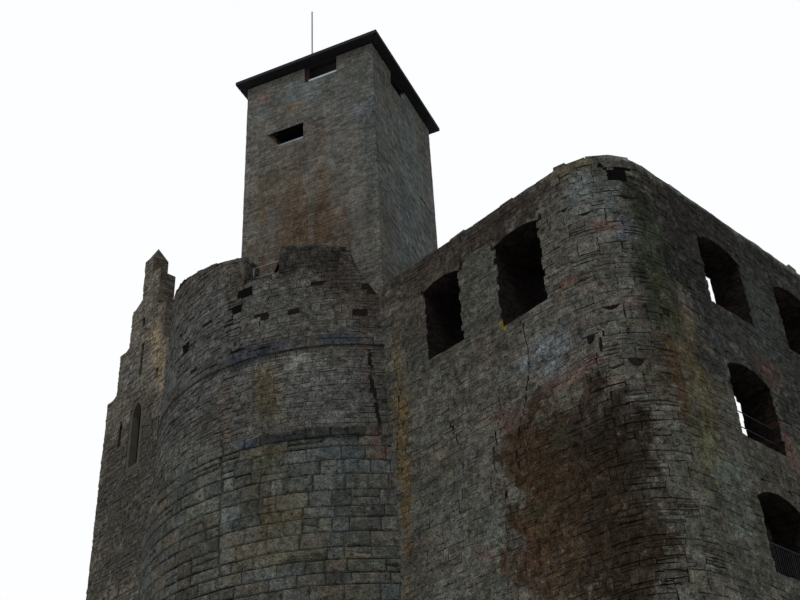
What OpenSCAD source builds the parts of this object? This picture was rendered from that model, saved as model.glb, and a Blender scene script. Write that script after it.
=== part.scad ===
// Castle keep in its round mantle wall, with the roofless house and the stepped gable building that join it

/* [Keep] */
// Side of the square keep
keep_side = 6230; // [5900:10:6600]
// Turn of the keep about its own axis, in degrees
keep_turn = 22.6; // [18:0.1:27]
// Height of the keep walls above the ground
keep_height = 30430; // [30300:10:30700]
// Thickness of the walls of the plain shaft
shaft_wall = 2000; // [1700:10:2200]
// Thickness of the walls of the upper room
room_wall = 1200; // [1100:10:1400]
// Thickness of the walls of the lookout
lookout_wall = 900; // [700:10:1000]
// Drop from the wall tops to the ledge that carries the floor of the upper room
room_drop = 5230; // [4950:10:5350]
// Drop from the wall tops to the ledge that carries the floor of the lookout
lookout_drop = 2130; // [1950:10:2300]
// Thickness of the timber floors in the keep
floor_boards = 200; // [120:10:260]

/* [Keep openings] */
// Clear width of the upper room's slot window
slot_width = 1200; // [900:10:1400]
// Clear height of the slot window
slot_height = 760; // [600:10:900]
// Height of the slot window's sill above the room's ledge
slot_sill = 1240; // [1000:10:1400]
// Distance from the middle of the wall to the slot window's middle
slot_offset = 870; // [700:10:1000]
// Width that the splayed reveal adds at the outer face
slot_splay = 570; // [300:10:650]
// Depth of the splayed reveal
slot_splay_depth = 500; // [300:10:700]
// Width of the lookout openings under the eaves
lookout_width = 1590; // [1200:10:1800]
// Height of the lookout openings, up to the wall plate
lookout_height = 900; // [700:10:1100]
// Distance from the middle of the wall to the lookout opening's middle
lookout_offset = 585; // [400:10:700]
// Thickness of the pale sill stones
sill_thick = 140; // [60:5:160]
// Set-back of the sill stones from the wall face
sill_setback = 30; // [10:5:60]
// Width of the timber post at the side of the lookout opening
post_width = 190; // [120:10:240]
// Set-back of the timber post from the wall face
post_setback = 60; // [30:5:100]
// Length of the open bed joint near the keep's right edge
joint_length = 1770; // [1200:10:1800]
// Height of the open bed joint
joint_height = 90; // [60:5:120]
// Depth of the open bed joint
joint_depth = 150; // [80:5:220]
// Drop from the upper room's ledge to the foot of the open bed joint
joint_drop = 250; // [200:10:600]
// Width of the broken opening in the right wall, at the wall top
fallen_width = 1530; // [1300:10:1600]
// Depth of the broken opening below the wall top
fallen_depth = 770; // [600:10:900]
// Distance from the middle of the wall to the far end of the broken opening
fallen_reach = 1150; // [1000:10:1300]

/* [Keep roof] */
// Overhang of the eaves
eaves = 425; // [300:5:550]
// Height of the timber wall plate
plate_height = 120; // [80:5:180]
// Width of the timber wall plate
plate_width = 260; // [180:10:320]
// Set-back of the wall plate from the wall face
plate_setback = 50; // [30:5:80]
// Thickness of the eaves boards
soffit_thick = 30; // [20:5:45]
// Height of the fascia boards
fascia_height = 170; // [120:5:220]
// Thickness of the fascia boards
fascia_thick = 35; // [20:5:50]
// Distance that the fascia hangs below the eaves boards
fascia_lip = 20; // [10:5:40]
// Rise of the roof from the eaves to its point
roof_rise = 900; // [600:10:1300]
// Thickness of the roof, measured upright
roof_thick = 110; // [70:5:160]
// Radius of the mast
mast_radius = 35; // [25:1:50]
// Height of the mast's tip above the keep walls
mast_rise = 5470; // [4100:10:7000]
// Distance of the mast from the keep's axis, towards the front
mast_x = 1570; // [1300:10:1800]
// Distance of the mast from the keep's axis, towards the left
mast_y = 650; // [400:10:900]

/* [Mantle wall] */
// Outer radius of the mantle wall at the ground
mantle_radius = 7450; // [7350:10:7550]
// Inward lean of the outer face between the ground and the highest parapet
mantle_lean = 540; // [380:10:640]
// Inner radius of the mantle wall below the terrace
mantle_inner = 5250; // [5100:10:5400]
// Inner radius of the parapet
parapet_inner = 6050; // [5900:10:6200]
// Level of the ledge that carries the terrace floor
terrace_ledge = 15700; // [15500:10:15800]
// Thickness of the terrace floor
terrace_thick = 300; // [200:10:400]
// Level of the top of the large stone base
base_level = 9900; // [9500:10:10300]
// Step of the base in front of the wall above
base_step = 40; // [20:5:70]
// Level of the underside of the projecting course
course_level = 13000; // [12700:10:13200]
// Height of the projecting course
course_height = 440; // [300:10:500]
// Projection of the course
course_step = 50; // [30:5:80]
// Level of the parapet beside the gable building
mantle_top_left = 18900; // [18500:10:19200]
// Level of the parapet behind the gable building
mantle_top_back = 18400; // [18000:10:18700]
// Level of the parapet left of the gap
mantle_top_gap = 17570; // [17400:10:17800]
// Level of the foot of the gap
gap_level = 16360; // [16250:10:16600]
// Level of the parapet right of the gap
mantle_top_right = 17520; // [17400:10:17700]
// Level of the parapet at the broken step
mantle_top_step = 17130; // [17000:10:17300]
// Level below the broken step
broken_top = 16480; // [16300:10:16700]
// Level of the broken wall behind the house
broken_foot = 15150; // [14900:10:15400]
// Height of the rail in the gap above the foot of the gap
gap_rail_height = 880; // [600:10:1000]
// Radius of the rails in the gap
gap_rail_radius = 22; // [15:1:30]

/* [House] */
// Distance from the keep's axis to the house's left face
house_left = 3640; // [3500:10:3800]
// Distance from the keep's axis to the house's front face
house_front = 15870; // [15700:10:16000]
// Length of the house along its front
house_length = 19350; // [19100:10:19700]
// Depth of the house, front face to back face
house_depth = 9370; // [9200:10:9500]
// Height of the house walls
house_height = 15410; // [15200:10:15700]
// Radius of the rounded corners
corner_radius = 1900; // [1600:10:2100]
// Thickness of the front and back walls
long_wall = 1050; // [950:10:1200]
// Thickness of the two end walls
end_wall = 2400; // [2200:10:2500]
// Distance from each end of the house to the nearest front window
first_window = 4250; // [4150:10:4350]
// Width of the front windows
window_width = 2290; // [2100:10:2450]
// Level of the sill of the low windows
low_sill = 3000; // [2950:10:3100]
// Height of the low windows to the spring of the arch
low_spring = 2150; // [2000:10:2300]
// Level of the sill of the middle windows
mid_sill = 6980; // [6850:10:7100]
// Height of the middle windows to the spring of the arch
mid_spring = 2270; // [2100:10:2400]
// Drop from the wall top to the sill of the upper windows
top_drop = 3970; // [3800:10:4100]
// Height of the upper windows to the spring of the arch
top_spring = 2400; // [2250:10:2500]
// Rise of the window arches
arch_rise = 330; // [200:10:400]
// Thickness of the house floor
house_floor = 300; // [200:10:400]
// Drop from the low sills to the house floor
floor_drop = 100; // [50:10:200]

/* [End wall windows] */
// Distance from the front face to the first end window
end_window_a = 2770; // [2700:10:2850]
// Width of the first end window
end_width_a = 1800; // [1650:10:1900]
// Drop from the wall top to the sill of the first end window
end_drop_a = 4270; // [4150:10:4400]
// Distance from the front face to the second end window
end_window_b = 6160; // [6050:10:6250]
// Width of the second end window
end_width_b = 1580; // [1450:10:1700]
// Drop from the wall top to the sill of the second end window
end_drop_b = 3970; // [3850:10:4100]
// Drop from the wall top to the spring of the end windows' arches
end_spring_drop = 1330; // [1200:10:1450]
// Rise of the end windows' arches
end_rise = 170; // [100:10:250]

/* [Breach in the end wall] */
// Drop from the wall top to the foot of the breach over the second end window
breach_depth = 1710; // [1550:10:1900]
// How much wider than the window the breach is at the wall top
breach_spread = 510; // [300:10:560]

/* [Window rails] */
// Height of the window railing above the sill
rail_height = 1000; // [900:10:1100]
// Height of the lower rail above the sill
rail_foot = 110; // [80:5:150]
// Radius of the rails
rail_radius = 20; // [15:1:28]
// Radius of the upright posts
post_radius = 12; // [8:0.5:16]
// Number of upright posts in a window
rail_posts = 2; // [1:1:3]
// Set-back of the railing from the outer face
rail_setback = 200; // [120:10:300]
// Height of the lower rod above the sill of a middle window
rod_low = 450; // [350:10:550]
// Height of the upper rod above the sill of a middle window
rod_high = 960; // [850:10:1050]
// Radius of the rods
rod_radius = 15; // [10:1:20]

/* [Gable building] */
// Distance from the keep's axis to the near end of the gable wall
gable_near = 7250; // [7150:10:7350]
// Width of the gable wall
gable_width = 5100; // [5000:10:5300]
// Length of the gable building
gable_length = 9000; // [8000:50:10000]
// Thickness of the walls below the steps
gable_wall = 1000; // [900:10:1100]
// Thickness of the stepped wall
steps_wall = 800; // [700:10:850]
// Level of the top of the side walls
gable_eaves = 18300; // [18250:10:18500]
// Height of the top pier's shoulders above the side walls
pier_rise = 7400; // [7200:10:7700]
// Height of the cap on the top pier
pier_cap = 800; // [600:10:1000]
// Width of the top pier
pier_width = 690; // [600:10:750]
// Slope of the step copings on the outer side, in millimetres
coping_fall = 400; // [250:10:500]
// Height of the highest step above the side walls, on the outer side
outer_rise = 5230; // [5100:10:5400]
// Height of the highest step above the side walls, on the near side
near_rise = 6530; // [6300:10:6650]
// Drop from one step to the next
step_drop = 2210; // [2000:10:2230]

/* [Gable openings] */
// Width of the tall pointed window
lancet_width = 700; // [600:10:800]
// Distance of the tall pointed window from the middle of the gable
lancet_shift = 110; // [50:10:160]
// Drop from the side walls' top to the sill of the tall pointed window
lancet_drop = 3500; // [3300:10:3800]
// Drop from the side walls' top to the spring of the tall pointed window
lancet_spring_drop = 1050; // [1000:10:1200]
// Width of the pale stone frame round the tall window
frame_width = 170; // [120:10:220]
// Width of the small pointed window
small_lancet_width = 250; // [180:10:320]
// Distance of the small pointed window from the tall one
small_lancet_offset = 1260; // [1200:10:1350]
// Drop from the side walls' top to the sill of the small pointed window
small_lancet_drop = 2100; // [1900:10:2300]
// Height of the small pointed window to its spring
small_lancet_height = 1030; // [900:10:1150]
// Width of the upright slots in the steps
slit_width = 240; // [160:10:300]
// Height of the foot of the tall slot above the side walls
slit_foot = 1000; // [800:10:1200]
// Height of the tall slot
slit_height = 1700; // [1500:10:1800]
// Height of the two short slots
short_slit = 500; // [400:10:600]
// Distance from the tall slot up to the short slot above it
slit_space = 900; // [700:10:1100]
// Distance of the side slot from the tall one
side_slit_offset = 1430; // [1300:10:1500]

/* [Hidden] */
$fn = 120;
// Steps of a full turn on the large round walls
round_steps = 1440;
// Turns the seam of the round shape away from the walls that are cut with it
seam_turn = 0.7;
// Small overlap that lets a cut run past a face
over = 10;
// Clearance between curved stone faces
fit_gap = 0.5;
half_keep = keep_side / 2;
room_level = keep_height - room_drop;
lookout_level = keep_height - lookout_drop;
plate_top = keep_height + plate_height;
soffit_top = plate_top + soffit_thick;
half_eaves = half_keep + eaves;
lookout_floor_top = lookout_level + floor_boards;
// The wall leans inwards by this much at a height z
function mantle_r(z) = mantle_radius - z * mantle_lean / mantle_top_left;
parapet_limit = 1.03 * max(mantle_top_left, mantle_top_right);
house_inner = house_length - 2 * end_wall;
// Three windows share the length of the front evenly
bay_pitch = (house_length - 2 * first_window - window_width) / 2;
bay_edge = first_window + window_width / 2 - bay_pitch / 2;
// The corner blocks reach this far along the end walls
corner_leg = end_window_a - 0.2 * end_wall;
floor_top = low_sill - floor_drop;
top_sill = house_height - top_drop;
end_sill_a = house_height - end_drop_a;
end_sill_b = house_height - end_drop_b;
end_spring = house_height - end_spring_drop;
gable_middle = gable_near + gable_width / 2;
step_width = (gable_width - pier_width) / 6;
pier_shoulder = gable_eaves + pier_rise;
step_top_outer = gable_eaves + outer_rise;
step_top_near = gable_eaves + near_rise;
lancet_sill = gable_eaves - lancet_drop;
lancet_spring = gable_eaves - lancet_spring_drop;
// The origin is the middle of the footprint, and the keep's axis stands at this place
site_x = -(house_length - house_left - mantle_radius - base_step) / 2;
site_y = (house_front - gable_near - gable_width) / 2;

// Places things that are measured from the keep's axis
module on_site() {
    translate([site_x, site_y, 0]) children();
}

// Places things that are square to the keep's own walls
module on_keep() {
    on_site() rotate([0, 0, keep_turn]) children();
}

// Places things that are measured from the house's front left corner
module on_house() {
    on_site() translate([-house_left, -house_front, 0]) children();
}

// Cuts a flat shape, drawn in x and z, through a wall that runs along x
module cut_along_y(x, z, y0, y1) {
    translate([x, y1, z]) rotate([90, 0, 0]) linear_extrude(y1 - y0) children();
}

// Cuts a flat shape, drawn in y and z, through a wall that runs along y
module cut_along_x(y, z, x0, x1) {
    translate([x0, y, z]) rotate([90, 0, 90]) linear_extrude(x1 - x0) children();
}

// Opening with a shallow segmental arch, centred on x = 0 with its sill at 0
module arched_shape(width, spring, rise) {
    radius = (width * width / 4 + rise * rise) / (2 * rise);
    translate([-width / 2, 0]) square([width, spring]);
    intersection() {
        translate([0, spring + rise - radius]) circle(radius);
        translate([-width / 2, spring - over]) square([width, rise + 2 * over]);
    }
}

// Opening with a pointed arch, whose two arcs are struck from the far springs
module pointed_shape(width, spring) {
    translate([-width / 2, 0]) square([width, spring]);
    intersection() {
        translate([-width / 2, spring]) circle(width);
        translate([width / 2, spring]) circle(width);
        translate([-width / 2, spring - over]) square([width, width + over]);
    }
}

// Four-sided point over a rectangle, made from two crossed wedges
module pyramid(x_size, y_size, height) {
    intersection() {
        translate([0, y_size / 2, 0]) rotate([90, 0, 0]) linear_extrude(y_size)
            polygon([[-x_size / 2, 0], [x_size / 2, 0], [0, height]]);
        translate([-x_size / 2, 0, 0]) rotate([90, 0, 90]) linear_extrude(x_size)
            polygon([[-y_size / 2, 0], [y_size / 2, 0], [0, height]]);
    }
}

// Keep shaft

// Side walls fit between the front and back walls
module shaft_side(y) {
    translate([-half_keep + shaft_wall, y, 0])
        cube([keep_side - 2 * shaft_wall, shaft_wall, room_level]);
}

module keep_shaft_front() {
    color("dimgray") on_keep() translate([-half_keep, -half_keep, 0])
        cube([shaft_wall, keep_side, room_level]);
}

module keep_shaft_right() {
    color("slategray") on_keep() shaft_side(-half_keep);
}

// The open bed joint shows on this wall's end, near the keep's right edge
module keep_shaft_back() {
    color("dimgray") on_keep() difference() {
        translate([half_keep - shaft_wall, -half_keep, 0])
            cube([shaft_wall, keep_side, room_level]);
        translate([half_keep - joint_length, -half_keep - over, room_level - joint_drop])
            cube([joint_length + over, joint_depth + over, joint_height]);
    }
}

module keep_shaft_left() {
    color("slategray") on_keep() shaft_side(half_keep - shaft_wall);
}

// Keep upper room and lookout

// The slot window has a splay on one side of its outer face
module slot_cut() {
    y0 = slot_offset - slot_width / 2;
    y1 = slot_offset + slot_width / 2;
    translate([0, 0, room_level + slot_sill]) linear_extrude(slot_height)
        polygon([[-over, y0], [room_wall + over, y0], [room_wall + over, y1],
            [slot_splay_depth, y1], [-over, y1 + slot_splay]]);
}

// The lookout opening has a bed for the sill stone below its clear part
module lookout_cut() {
    translate([-over, -lookout_offset - lookout_width / 2, keep_height - lookout_height])
        cube([lookout_wall + 2 * over, lookout_width, lookout_height + over]);
}

module sill_bed() {
    translate([-over, slot_offset - slot_width / 2, room_level + slot_sill - sill_thick])
        cube([slot_splay_depth + over, slot_width, sill_thick + over]);
}

// Long upper wall, whose outer face looks towards -x
module long_upper_wall() {
    difference() {
        translate([-half_keep, 0, 0]) {
            translate([0, -half_keep, room_level])
                cube([room_wall, keep_side, lookout_level - room_level]);
            translate([0, -half_keep, lookout_level])
                cube([lookout_wall, keep_side, keep_height - lookout_level]);
        }
        translate([-half_keep, 0, 0]) {
            slot_cut();
            sill_bed();
            lookout_cut();
        }
    }
}

// Short upper wall between the long ones, its outer face towards -y
module short_upper_wall() {
    translate([-half_keep + room_wall, -half_keep, room_level])
        cube([keep_side - 2 * room_wall, room_wall, lookout_level - room_level]);
    translate([-half_keep + lookout_wall, -half_keep, lookout_level])
        cube([keep_side - 2 * lookout_wall, lookout_wall, keep_height - lookout_level]);
}

module keep_top_front() {
    color("dimgray") on_keep() long_upper_wall();
}

// Stones have fallen from the sides of this opening
module keep_top_right() {
    color("slategray") on_keep() difference() {
        short_upper_wall();
        cut_along_y(-fallen_reach, keep_height, -half_keep - over, -half_keep + lookout_wall + over)
            polygon([[0, over], [-0.04 * fallen_width, -fallen_depth],
                [0.67 * fallen_width, -0.87 * fallen_depth], [fallen_width, over]]);
    }
}

module keep_top_back() {
    color("dimgray") on_keep() rotate([0, 0, 180]) long_upper_wall();
}

module keep_top_left() {
    color("slategray") on_keep() rotate([0, 0, 180]) difference() {
        short_upper_wall();
        translate([-lookout_width / 2, -half_keep - over, keep_height - lookout_height])
            cube([lookout_width, lookout_wall + 2 * over, lookout_height + over]);
    }
}

// Square timber floor between walls of a given thickness
module keep_floor(wall, level) {
    span = keep_side - 2 * wall;
    translate([-span / 2, -span / 2, level]) cube([span, span, floor_boards]);
}

// The floors of the upper room and of the lookout lie on the ledges of the walls
module keep_floors() {
    color("saddlebrown") on_keep() {
        keep_floor(room_wall, room_level);
        keep_floor(lookout_wall, lookout_level);
    }
}

// Pale stones under the slot window and the lookout opening of a long wall
module sill_pair() {
    translate([-half_keep + sill_setback, 0, 0]) {
        translate([0, slot_offset - slot_width / 2, room_level + slot_sill - sill_thick])
            cube([slot_splay_depth - sill_setback, slot_width, sill_thick]);
        translate([0, -lookout_offset - lookout_width / 2, keep_height - lookout_height])
            cube([0.75 * lookout_wall, lookout_width - post_width, sill_thick]);
    }
}

module keep_sills() {
    color("gainsboro") on_keep() {
        sill_pair();
        rotate([0, 0, 180]) sill_pair();
    }
}

// Timber post beside the sill of each lookout opening
module lookout_post() {
    translate([-half_keep + post_setback, -lookout_offset + lookout_width / 2 - post_width,
        keep_height - lookout_height])
        cube([post_width, post_width, lookout_height]);
}

module keep_lookout_posts() {
    color("sienna") on_keep() {
        lookout_post();
        rotate([0, 0, 180]) lookout_post();
    }
}

// Keep roof

// Square ring of boards or beams
module square_ring(outer, width, z, height) {
    translate([0, 0, z]) linear_extrude(height) difference() {
        square(outer, center = true);
        square(outer - 2 * width, center = true);
    }
}

module keep_wall_plate() {
    color("sienna") on_keep()
        square_ring(keep_side - 2 * plate_setback, plate_width, keep_height, plate_height);
}

module keep_eaves_boards() {
    inner = keep_side - 2 * plate_setback - 2 * plate_width;
    outer = 2 * (half_eaves - fascia_thick);
    color("darkslategray") on_keep()
        square_ring(outer, (outer - inner) / 2, plate_top, soffit_thick);
}

module keep_fascia() {
    color("darkslategray") on_keep()
        square_ring(2 * half_eaves, fascia_thick, plate_top - fascia_lip, fascia_height);
}

// The roof bears on the eaves boards inside the fascia, and rises to a low point
module keep_roof() {
    outer = 2 * (half_eaves - fascia_thick);
    inner = outer * (1 - roof_thick / roof_rise);
    color("darkslategray") on_keep() difference() {
        translate([0, 0, soffit_top]) pyramid(outer, outer, roof_rise);
        translate([0, 0, soffit_top]) pyramid(inner, inner, roof_rise - roof_thick);
        translate([-mast_x, mast_y, soffit_top]) cylinder(h = roof_rise, r = mast_radius + fit_gap);
    }
}

// The mast stands on the lookout floor and passes through the roof
module keep_mast() {
    color("silver") on_keep() translate([-mast_x, mast_y, lookout_floor_top]) {
        cylinder(h = keep_height + mast_rise - lookout_floor_top, r = mast_radius);
        cylinder(h = mast_radius / 2, r = 4 * mast_radius);
    }
}

// Mantle wall

// Outer outline in radius and height, grown by a clearance
module mantle_outline(inner, grow) {
    course_top = course_level + course_height;
    polygon([
        [inner, 0],
        [mantle_r(0) + base_step + grow, 0],
        [mantle_r(base_level) + base_step + grow, base_level],
        [mantle_r(base_level) + grow, base_level],
        [mantle_r(course_level) + grow, course_level],
        [mantle_r(course_level) + course_step + grow, course_level],
        [mantle_r(course_top) + course_step + grow, course_top],
        [mantle_r(course_top) + grow, course_top],
        [mantle_r(parapet_limit) + grow, parapet_limit],
        [inner, parapet_limit]
    ]);
}

// Space that the mantle wall takes, with which other walls are cut back
module mantle_space() {
    rotate([0, 0, seam_turn]) rotate_extrude($fn = round_steps) mantle_outline(0, fit_gap);
}

// Everything below a sloping top line, from level z0 at angle a0 to z1 at angle a1
module below_top(a0, z0, a1, z1) {
    half = (a1 - a0) / 2;
    reach = mantle_r(z0) * sin(half);
    slope = (z1 - z0) / (2 * reach);
    wide = 1.4 * reach;
    mean = (z0 + z1) / 2;
    rotate([0, 0, (a0 + a1) / 2]) translate([parapet_inner / 2, 0, 0]) rotate([90, 0, 90])
        linear_extrude(mantle_radius) polygon([[-wide, -over], [wide, -over],
            [wide, mean + slope * wide], [-wide, mean - slope * wide]]);
}

// One piece of the round wall: a ledge for the terrace and, outside it, the wall with its parapet
module mantle_piece(a0, z0, a1, z1) {
    on_site() {
        rotate([0, 0, a0]) rotate_extrude(angle = a1 - a0, $fn = round_steps)
            translate([mantle_inner, 0]) square([parapet_inner - mantle_inner, terrace_ledge]);
        intersection() {
            rotate([0, 0, a0]) rotate_extrude(angle = a1 - a0, $fn = round_steps)
                mantle_outline(parapet_inner, 0);
            below_top(a0, z0, a1, z1);
        }
    }
}

// Angles from the +X direction at which one piece of the wall meets the next
gable_angle = 65;
left_angle = 150;
gap_angle = 198;
gap_end_angle = 209.8;
step_angle = 230.9;
broken_end_angle = 238;
house_angle = 290;
back_angle = 345;

module mantle_wall_left() {
    color("gray") mantle_piece(left_angle, mantle_top_left, gap_angle, mantle_top_gap);
}

module mantle_wall_gap() {
    color("dimgray") mantle_piece(gap_angle, gap_level, gap_end_angle, gap_level);
}

module mantle_wall_front() {
    color("gray") mantle_piece(gap_end_angle, mantle_top_right, step_angle, mantle_top_step);
}

module mantle_wall_broken() {
    color("dimgray") mantle_piece(step_angle, broken_top, broken_end_angle, broken_foot);
}

module mantle_wall_house() {
    color("gray") mantle_piece(broken_end_angle, broken_foot, house_angle, mantle_top_step);
}

module mantle_wall_right() {
    color("dimgray") mantle_piece(house_angle, mantle_top_step, back_angle, mantle_top_gap);
}

module mantle_wall_back() {
    color("gray") mantle_piece(back_angle - 360, mantle_top_gap, gable_angle, mantle_top_back);
}

module mantle_wall_gable() {
    color("dimgray") mantle_piece(gable_angle, mantle_top_back, left_angle, mantle_top_left);
}

// The floor lies on the ledge and fits against the keep
module terrace_floor() {
    color("tan") on_site() translate([0, 0, terrace_ledge]) difference() {
        cylinder(h = terrace_thick, r = parapet_inner - over / 2, $fn = round_steps);
        rotate([0, 0, keep_turn]) translate([-half_keep, -half_keep, -over])
            cube([keep_side, keep_side, terrace_thick + 2 * over]);
    }
}

// Two rails on two posts, across the gap in the parapet
module terrace_gap_rail() {
    middle = (gap_angle + gap_end_angle) / 2;
    radius = (parapet_inner + mantle_r(gap_level)) / 2;
    reach = radius * sin((gap_end_angle - gap_angle) / 2) - 3 * gap_rail_radius;
    color("silver") on_site() rotate([0, 0, middle]) translate([radius, 0, gap_level]) {
        for (side = [-1, 1])
            translate([0, side * (reach - 2 * gap_rail_radius), 0])
                cylinder(h = gap_rail_height, r = gap_rail_radius);
        for (z = [gap_rail_height / 2, gap_rail_height])
            translate([0, reach, z]) rotate([90, 0, 0])
                cylinder(h = 2 * reach, r = gap_rail_radius);
    }
}

// House

// Plan of a corner block with a rounded outer corner at the origin
module corner_plan() {
    difference() {
        square([bay_edge, corner_leg]);
        translate([end_wall, long_wall]) square([bay_edge, corner_leg]);
        difference() {
            translate([-over, -over]) square(corner_radius + over);
            translate([corner_radius, corner_radius]) circle(corner_radius, $fn = round_steps);
        }
    }
}

module house_front_corner() {
    color("dimgray") on_house() linear_extrude(house_height) corner_plan();
}

module house_end_corner() {
    color("dimgray") on_house() translate([house_length, 0, 0]) mirror([1, 0, 0])
        linear_extrude(house_height) corner_plan();
}

// The two upper windows of an end wall
module end_window_cuts() {
    cut_along_x(end_window_a + end_width_a / 2, end_sill_a, -over, end_wall + over)
        arched_shape(end_width_a, end_spring - end_sill_a, end_rise);
    cut_along_x(end_window_b + end_width_b / 2, end_sill_b, -over, end_wall + over)
        arched_shape(end_width_b, end_spring - end_sill_b, end_rise);
}

// This wall runs into the round mantle wall
module house_left_wall() {
    length = house_front - mantle_radius / 2 - corner_leg;
    color("gray") difference() {
        on_house() difference() {
            translate([0, corner_leg, 0]) cube([end_wall, length, house_height]);
            end_window_cuts();
        }
        on_site() mantle_space();
    }
}

module house_end_wall() {
    color("gray") on_house() translate([house_length, 0, 0]) mirror([1, 0, 0]) difference() {
        translate([0, corner_leg, 0]) cube([end_wall, house_depth - corner_leg, house_height]);
        end_window_cuts();
        cut_along_x(end_window_b, house_height, -over, end_wall + over)
            polygon([[-0.2 * breach_spread, over], [0, -0.5 * breach_depth], [0, -breach_depth],
                [end_width_b, -breach_depth], [end_width_b + breach_spread, over]]);
    }
}

// The three windows of a bay, one above the other
module bay_window_cuts(x, y0, y1) {
    cut_along_y(x, low_sill, y0, y1) arched_shape(window_width, low_spring, arch_rise);
    cut_along_y(x, mid_sill, y0, y1) arched_shape(window_width, mid_spring, arch_rise);
    cut_along_y(x, top_sill, y0, y1) arched_shape(window_width, top_spring, arch_rise);
}

// Middle of the windows of a bay, counted from 0
function bay_middle(i) = first_window + window_width / 2 + i * bay_pitch;

module front_bay(i) {
    last = i == 2 ? house_length - bay_edge : bay_edge + (i + 1) * bay_pitch;
    start = bay_edge + i * bay_pitch;
    on_house() difference() {
        translate([start, 0, 0]) cube([last - start, long_wall, house_height]);
        bay_window_cuts(bay_middle(i), -over, long_wall + over);
    }
}

module house_front_bay_1() {
    color("gray") front_bay(0);
}

module house_front_bay_2() {
    color("dimgray") front_bay(1);
}

module house_front_bay_3() {
    color("gray") front_bay(2);
}

back_start = house_left + 0.3 * mantle_inner;
back_split = bay_edge + 2 * bay_pitch;
back_y = house_depth - long_wall;

// The back wall runs from the mantle wall to the end wall
module house_back_bay_1() {
    color("gray") difference() {
        on_house() difference() {
            translate([back_start, back_y, 0])
                cube([back_split - back_start, long_wall, house_height]);
            bay_window_cuts(bay_middle(1), back_y - over, house_depth + over);
        }
        on_site() mantle_space();
    }
}

module house_back_bay_2() {
    color("dimgray") on_house() difference() {
        translate([back_split, back_y, 0])
            cube([house_length - end_wall - back_split, long_wall, house_height]);
        bay_window_cuts(bay_middle(2), back_y - over, house_depth + over);
    }
}

// The ground floor fills the house between its walls and the mantle wall
module house_ground_floor() {
    level = floor_top - house_floor;
    base_radius = mantle_r(level) + base_step;
    color("tan") difference() {
        on_house() translate([0, 0, level]) {
            translate([end_wall, long_wall, 0])
                cube([house_inner, back_y - long_wall, house_floor]);
            translate([end_wall, back_y - over, 0])
                cube([back_start - end_wall, long_wall + over, house_floor]);
        }
        on_site() translate([0, 0, level - over])
            cylinder(h = house_floor + 2 * over, r = base_radius + fit_gap, $fn = round_steps);
    }
}

// Railing of a low window: two rails between the jambs, held by upright posts
module window_railing(i) {
    left = bay_middle(i) - window_width / 2;
    step = window_width / (rail_posts + 1);
    on_house() translate([left, rail_setback, low_sill]) {
        for (z = [rail_foot, rail_height - rail_radius])
            translate([0, 0, z]) rotate([0, 90, 0]) cylinder(h = window_width, r = rail_radius);
        for (n = [1:rail_posts])
            translate([n * step, 0, rail_foot])
                cylinder(h = rail_height - rail_radius - rail_foot, r = post_radius);
    }
}

// The middle windows have two level rods between the jambs
module window_rods(i) {
    on_house() for (z = [rod_low, rod_high])
        translate([bay_middle(i) - window_width / 2, rail_setback, mid_sill + z])
            rotate([0, 90, 0]) cylinder(h = window_width, r = rod_radius);
}

module house_window_rails() {
    color("dimgray") for (i = [0:2]) {
        window_railing(i);
        window_rods(i);
    }
}

// Gable building

// Outline of the steps in y and z, for one side of the pier, from the pier outwards
function side_steps(side, top) = [for (i = [0:2]) for (end = [0, 1])
    [side * (pier_width / 2 + (i + end) * step_width), top - i * step_drop - end * coping_fall]];

function reversed(list) = [for (i = [len(list) - 1:-1:0]) list[i]];

module steps_outline() {
    near = side_steps(-1, step_top_near);
    outer = side_steps(1, step_top_outer);
    polygon(concat(
        [[-gable_width / 2, gable_eaves]], reversed(near),
        [[-pier_width / 2, step_top_outer], [pier_width / 2, step_top_outer]],
        outer, [[gable_width / 2, gable_eaves]]));
}

// Stepped wall with its slots, and the square pier with a pointed cap
module stepped_wall() {
    difference() {
        cut_along_x(gable_middle, 0, 0, steps_wall) steps_outline();
        cut_along_x(gable_middle, 0, -over, steps_wall + over) {
            translate([-slit_width / 2, gable_eaves + slit_foot + slit_height + slit_space])
                square([slit_width, short_slit]);
            translate([-slit_width / 2 - lancet_shift, gable_eaves + slit_foot])
                square([slit_width, slit_height]);
            translate([-slit_width / 2 - lancet_shift - side_slit_offset, gable_eaves + 0.3 * short_slit])
                square([slit_width, short_slit]);
        }
    }
    translate([0, gable_middle - pier_width / 2, step_top_outer])
        cube([steps_wall, pier_width, pier_shoulder - step_top_outer]);
    translate([steps_wall / 2, gable_middle, pier_shoulder])
        pyramid(steps_wall, pier_width, pier_cap);
}

module lancet_cut(x0, x1, grow) {
    cut_along_x(gable_middle - lancet_shift, lancet_sill - grow, x0, x1)
        pointed_shape(lancet_width + 2 * grow, lancet_spring - lancet_sill + grow);
}

// Lower gable wall with the tall and the small pointed windows
module pierced_wall() {
    difference() {
        translate([0, gable_near, 0]) cube([gable_wall, gable_width, gable_eaves]);
        lancet_cut(-over, gable_wall + over, 0);
        lancet_cut(-over, gable_wall / 3, frame_width);
        cut_along_x(gable_middle - lancet_shift + small_lancet_offset, gable_eaves - small_lancet_drop,
            -over, gable_wall + over)
            pointed_shape(small_lancet_width, small_lancet_height);
    }
}

module gable_front_wall() {
    color("gray") on_site() translate([-house_left, 0, 0]) pierced_wall();
}

module gable_front_steps() {
    color("dimgray") on_site() translate([-house_left, 0, 0]) stepped_wall();
}

module gable_lancet_frame() {
    color("gainsboro") on_site() translate([-house_left, 0, 0]) difference() {
        lancet_cut(0, gable_wall / 3, frame_width);
        lancet_cut(-over, gable_wall, 0);
    }
}

// Side walls run between the two gable walls
module gable_side(y) {
    translate([gable_wall - house_left, y, 0])
        cube([gable_length - 2 * gable_wall, gable_wall, gable_eaves]);
}

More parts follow.
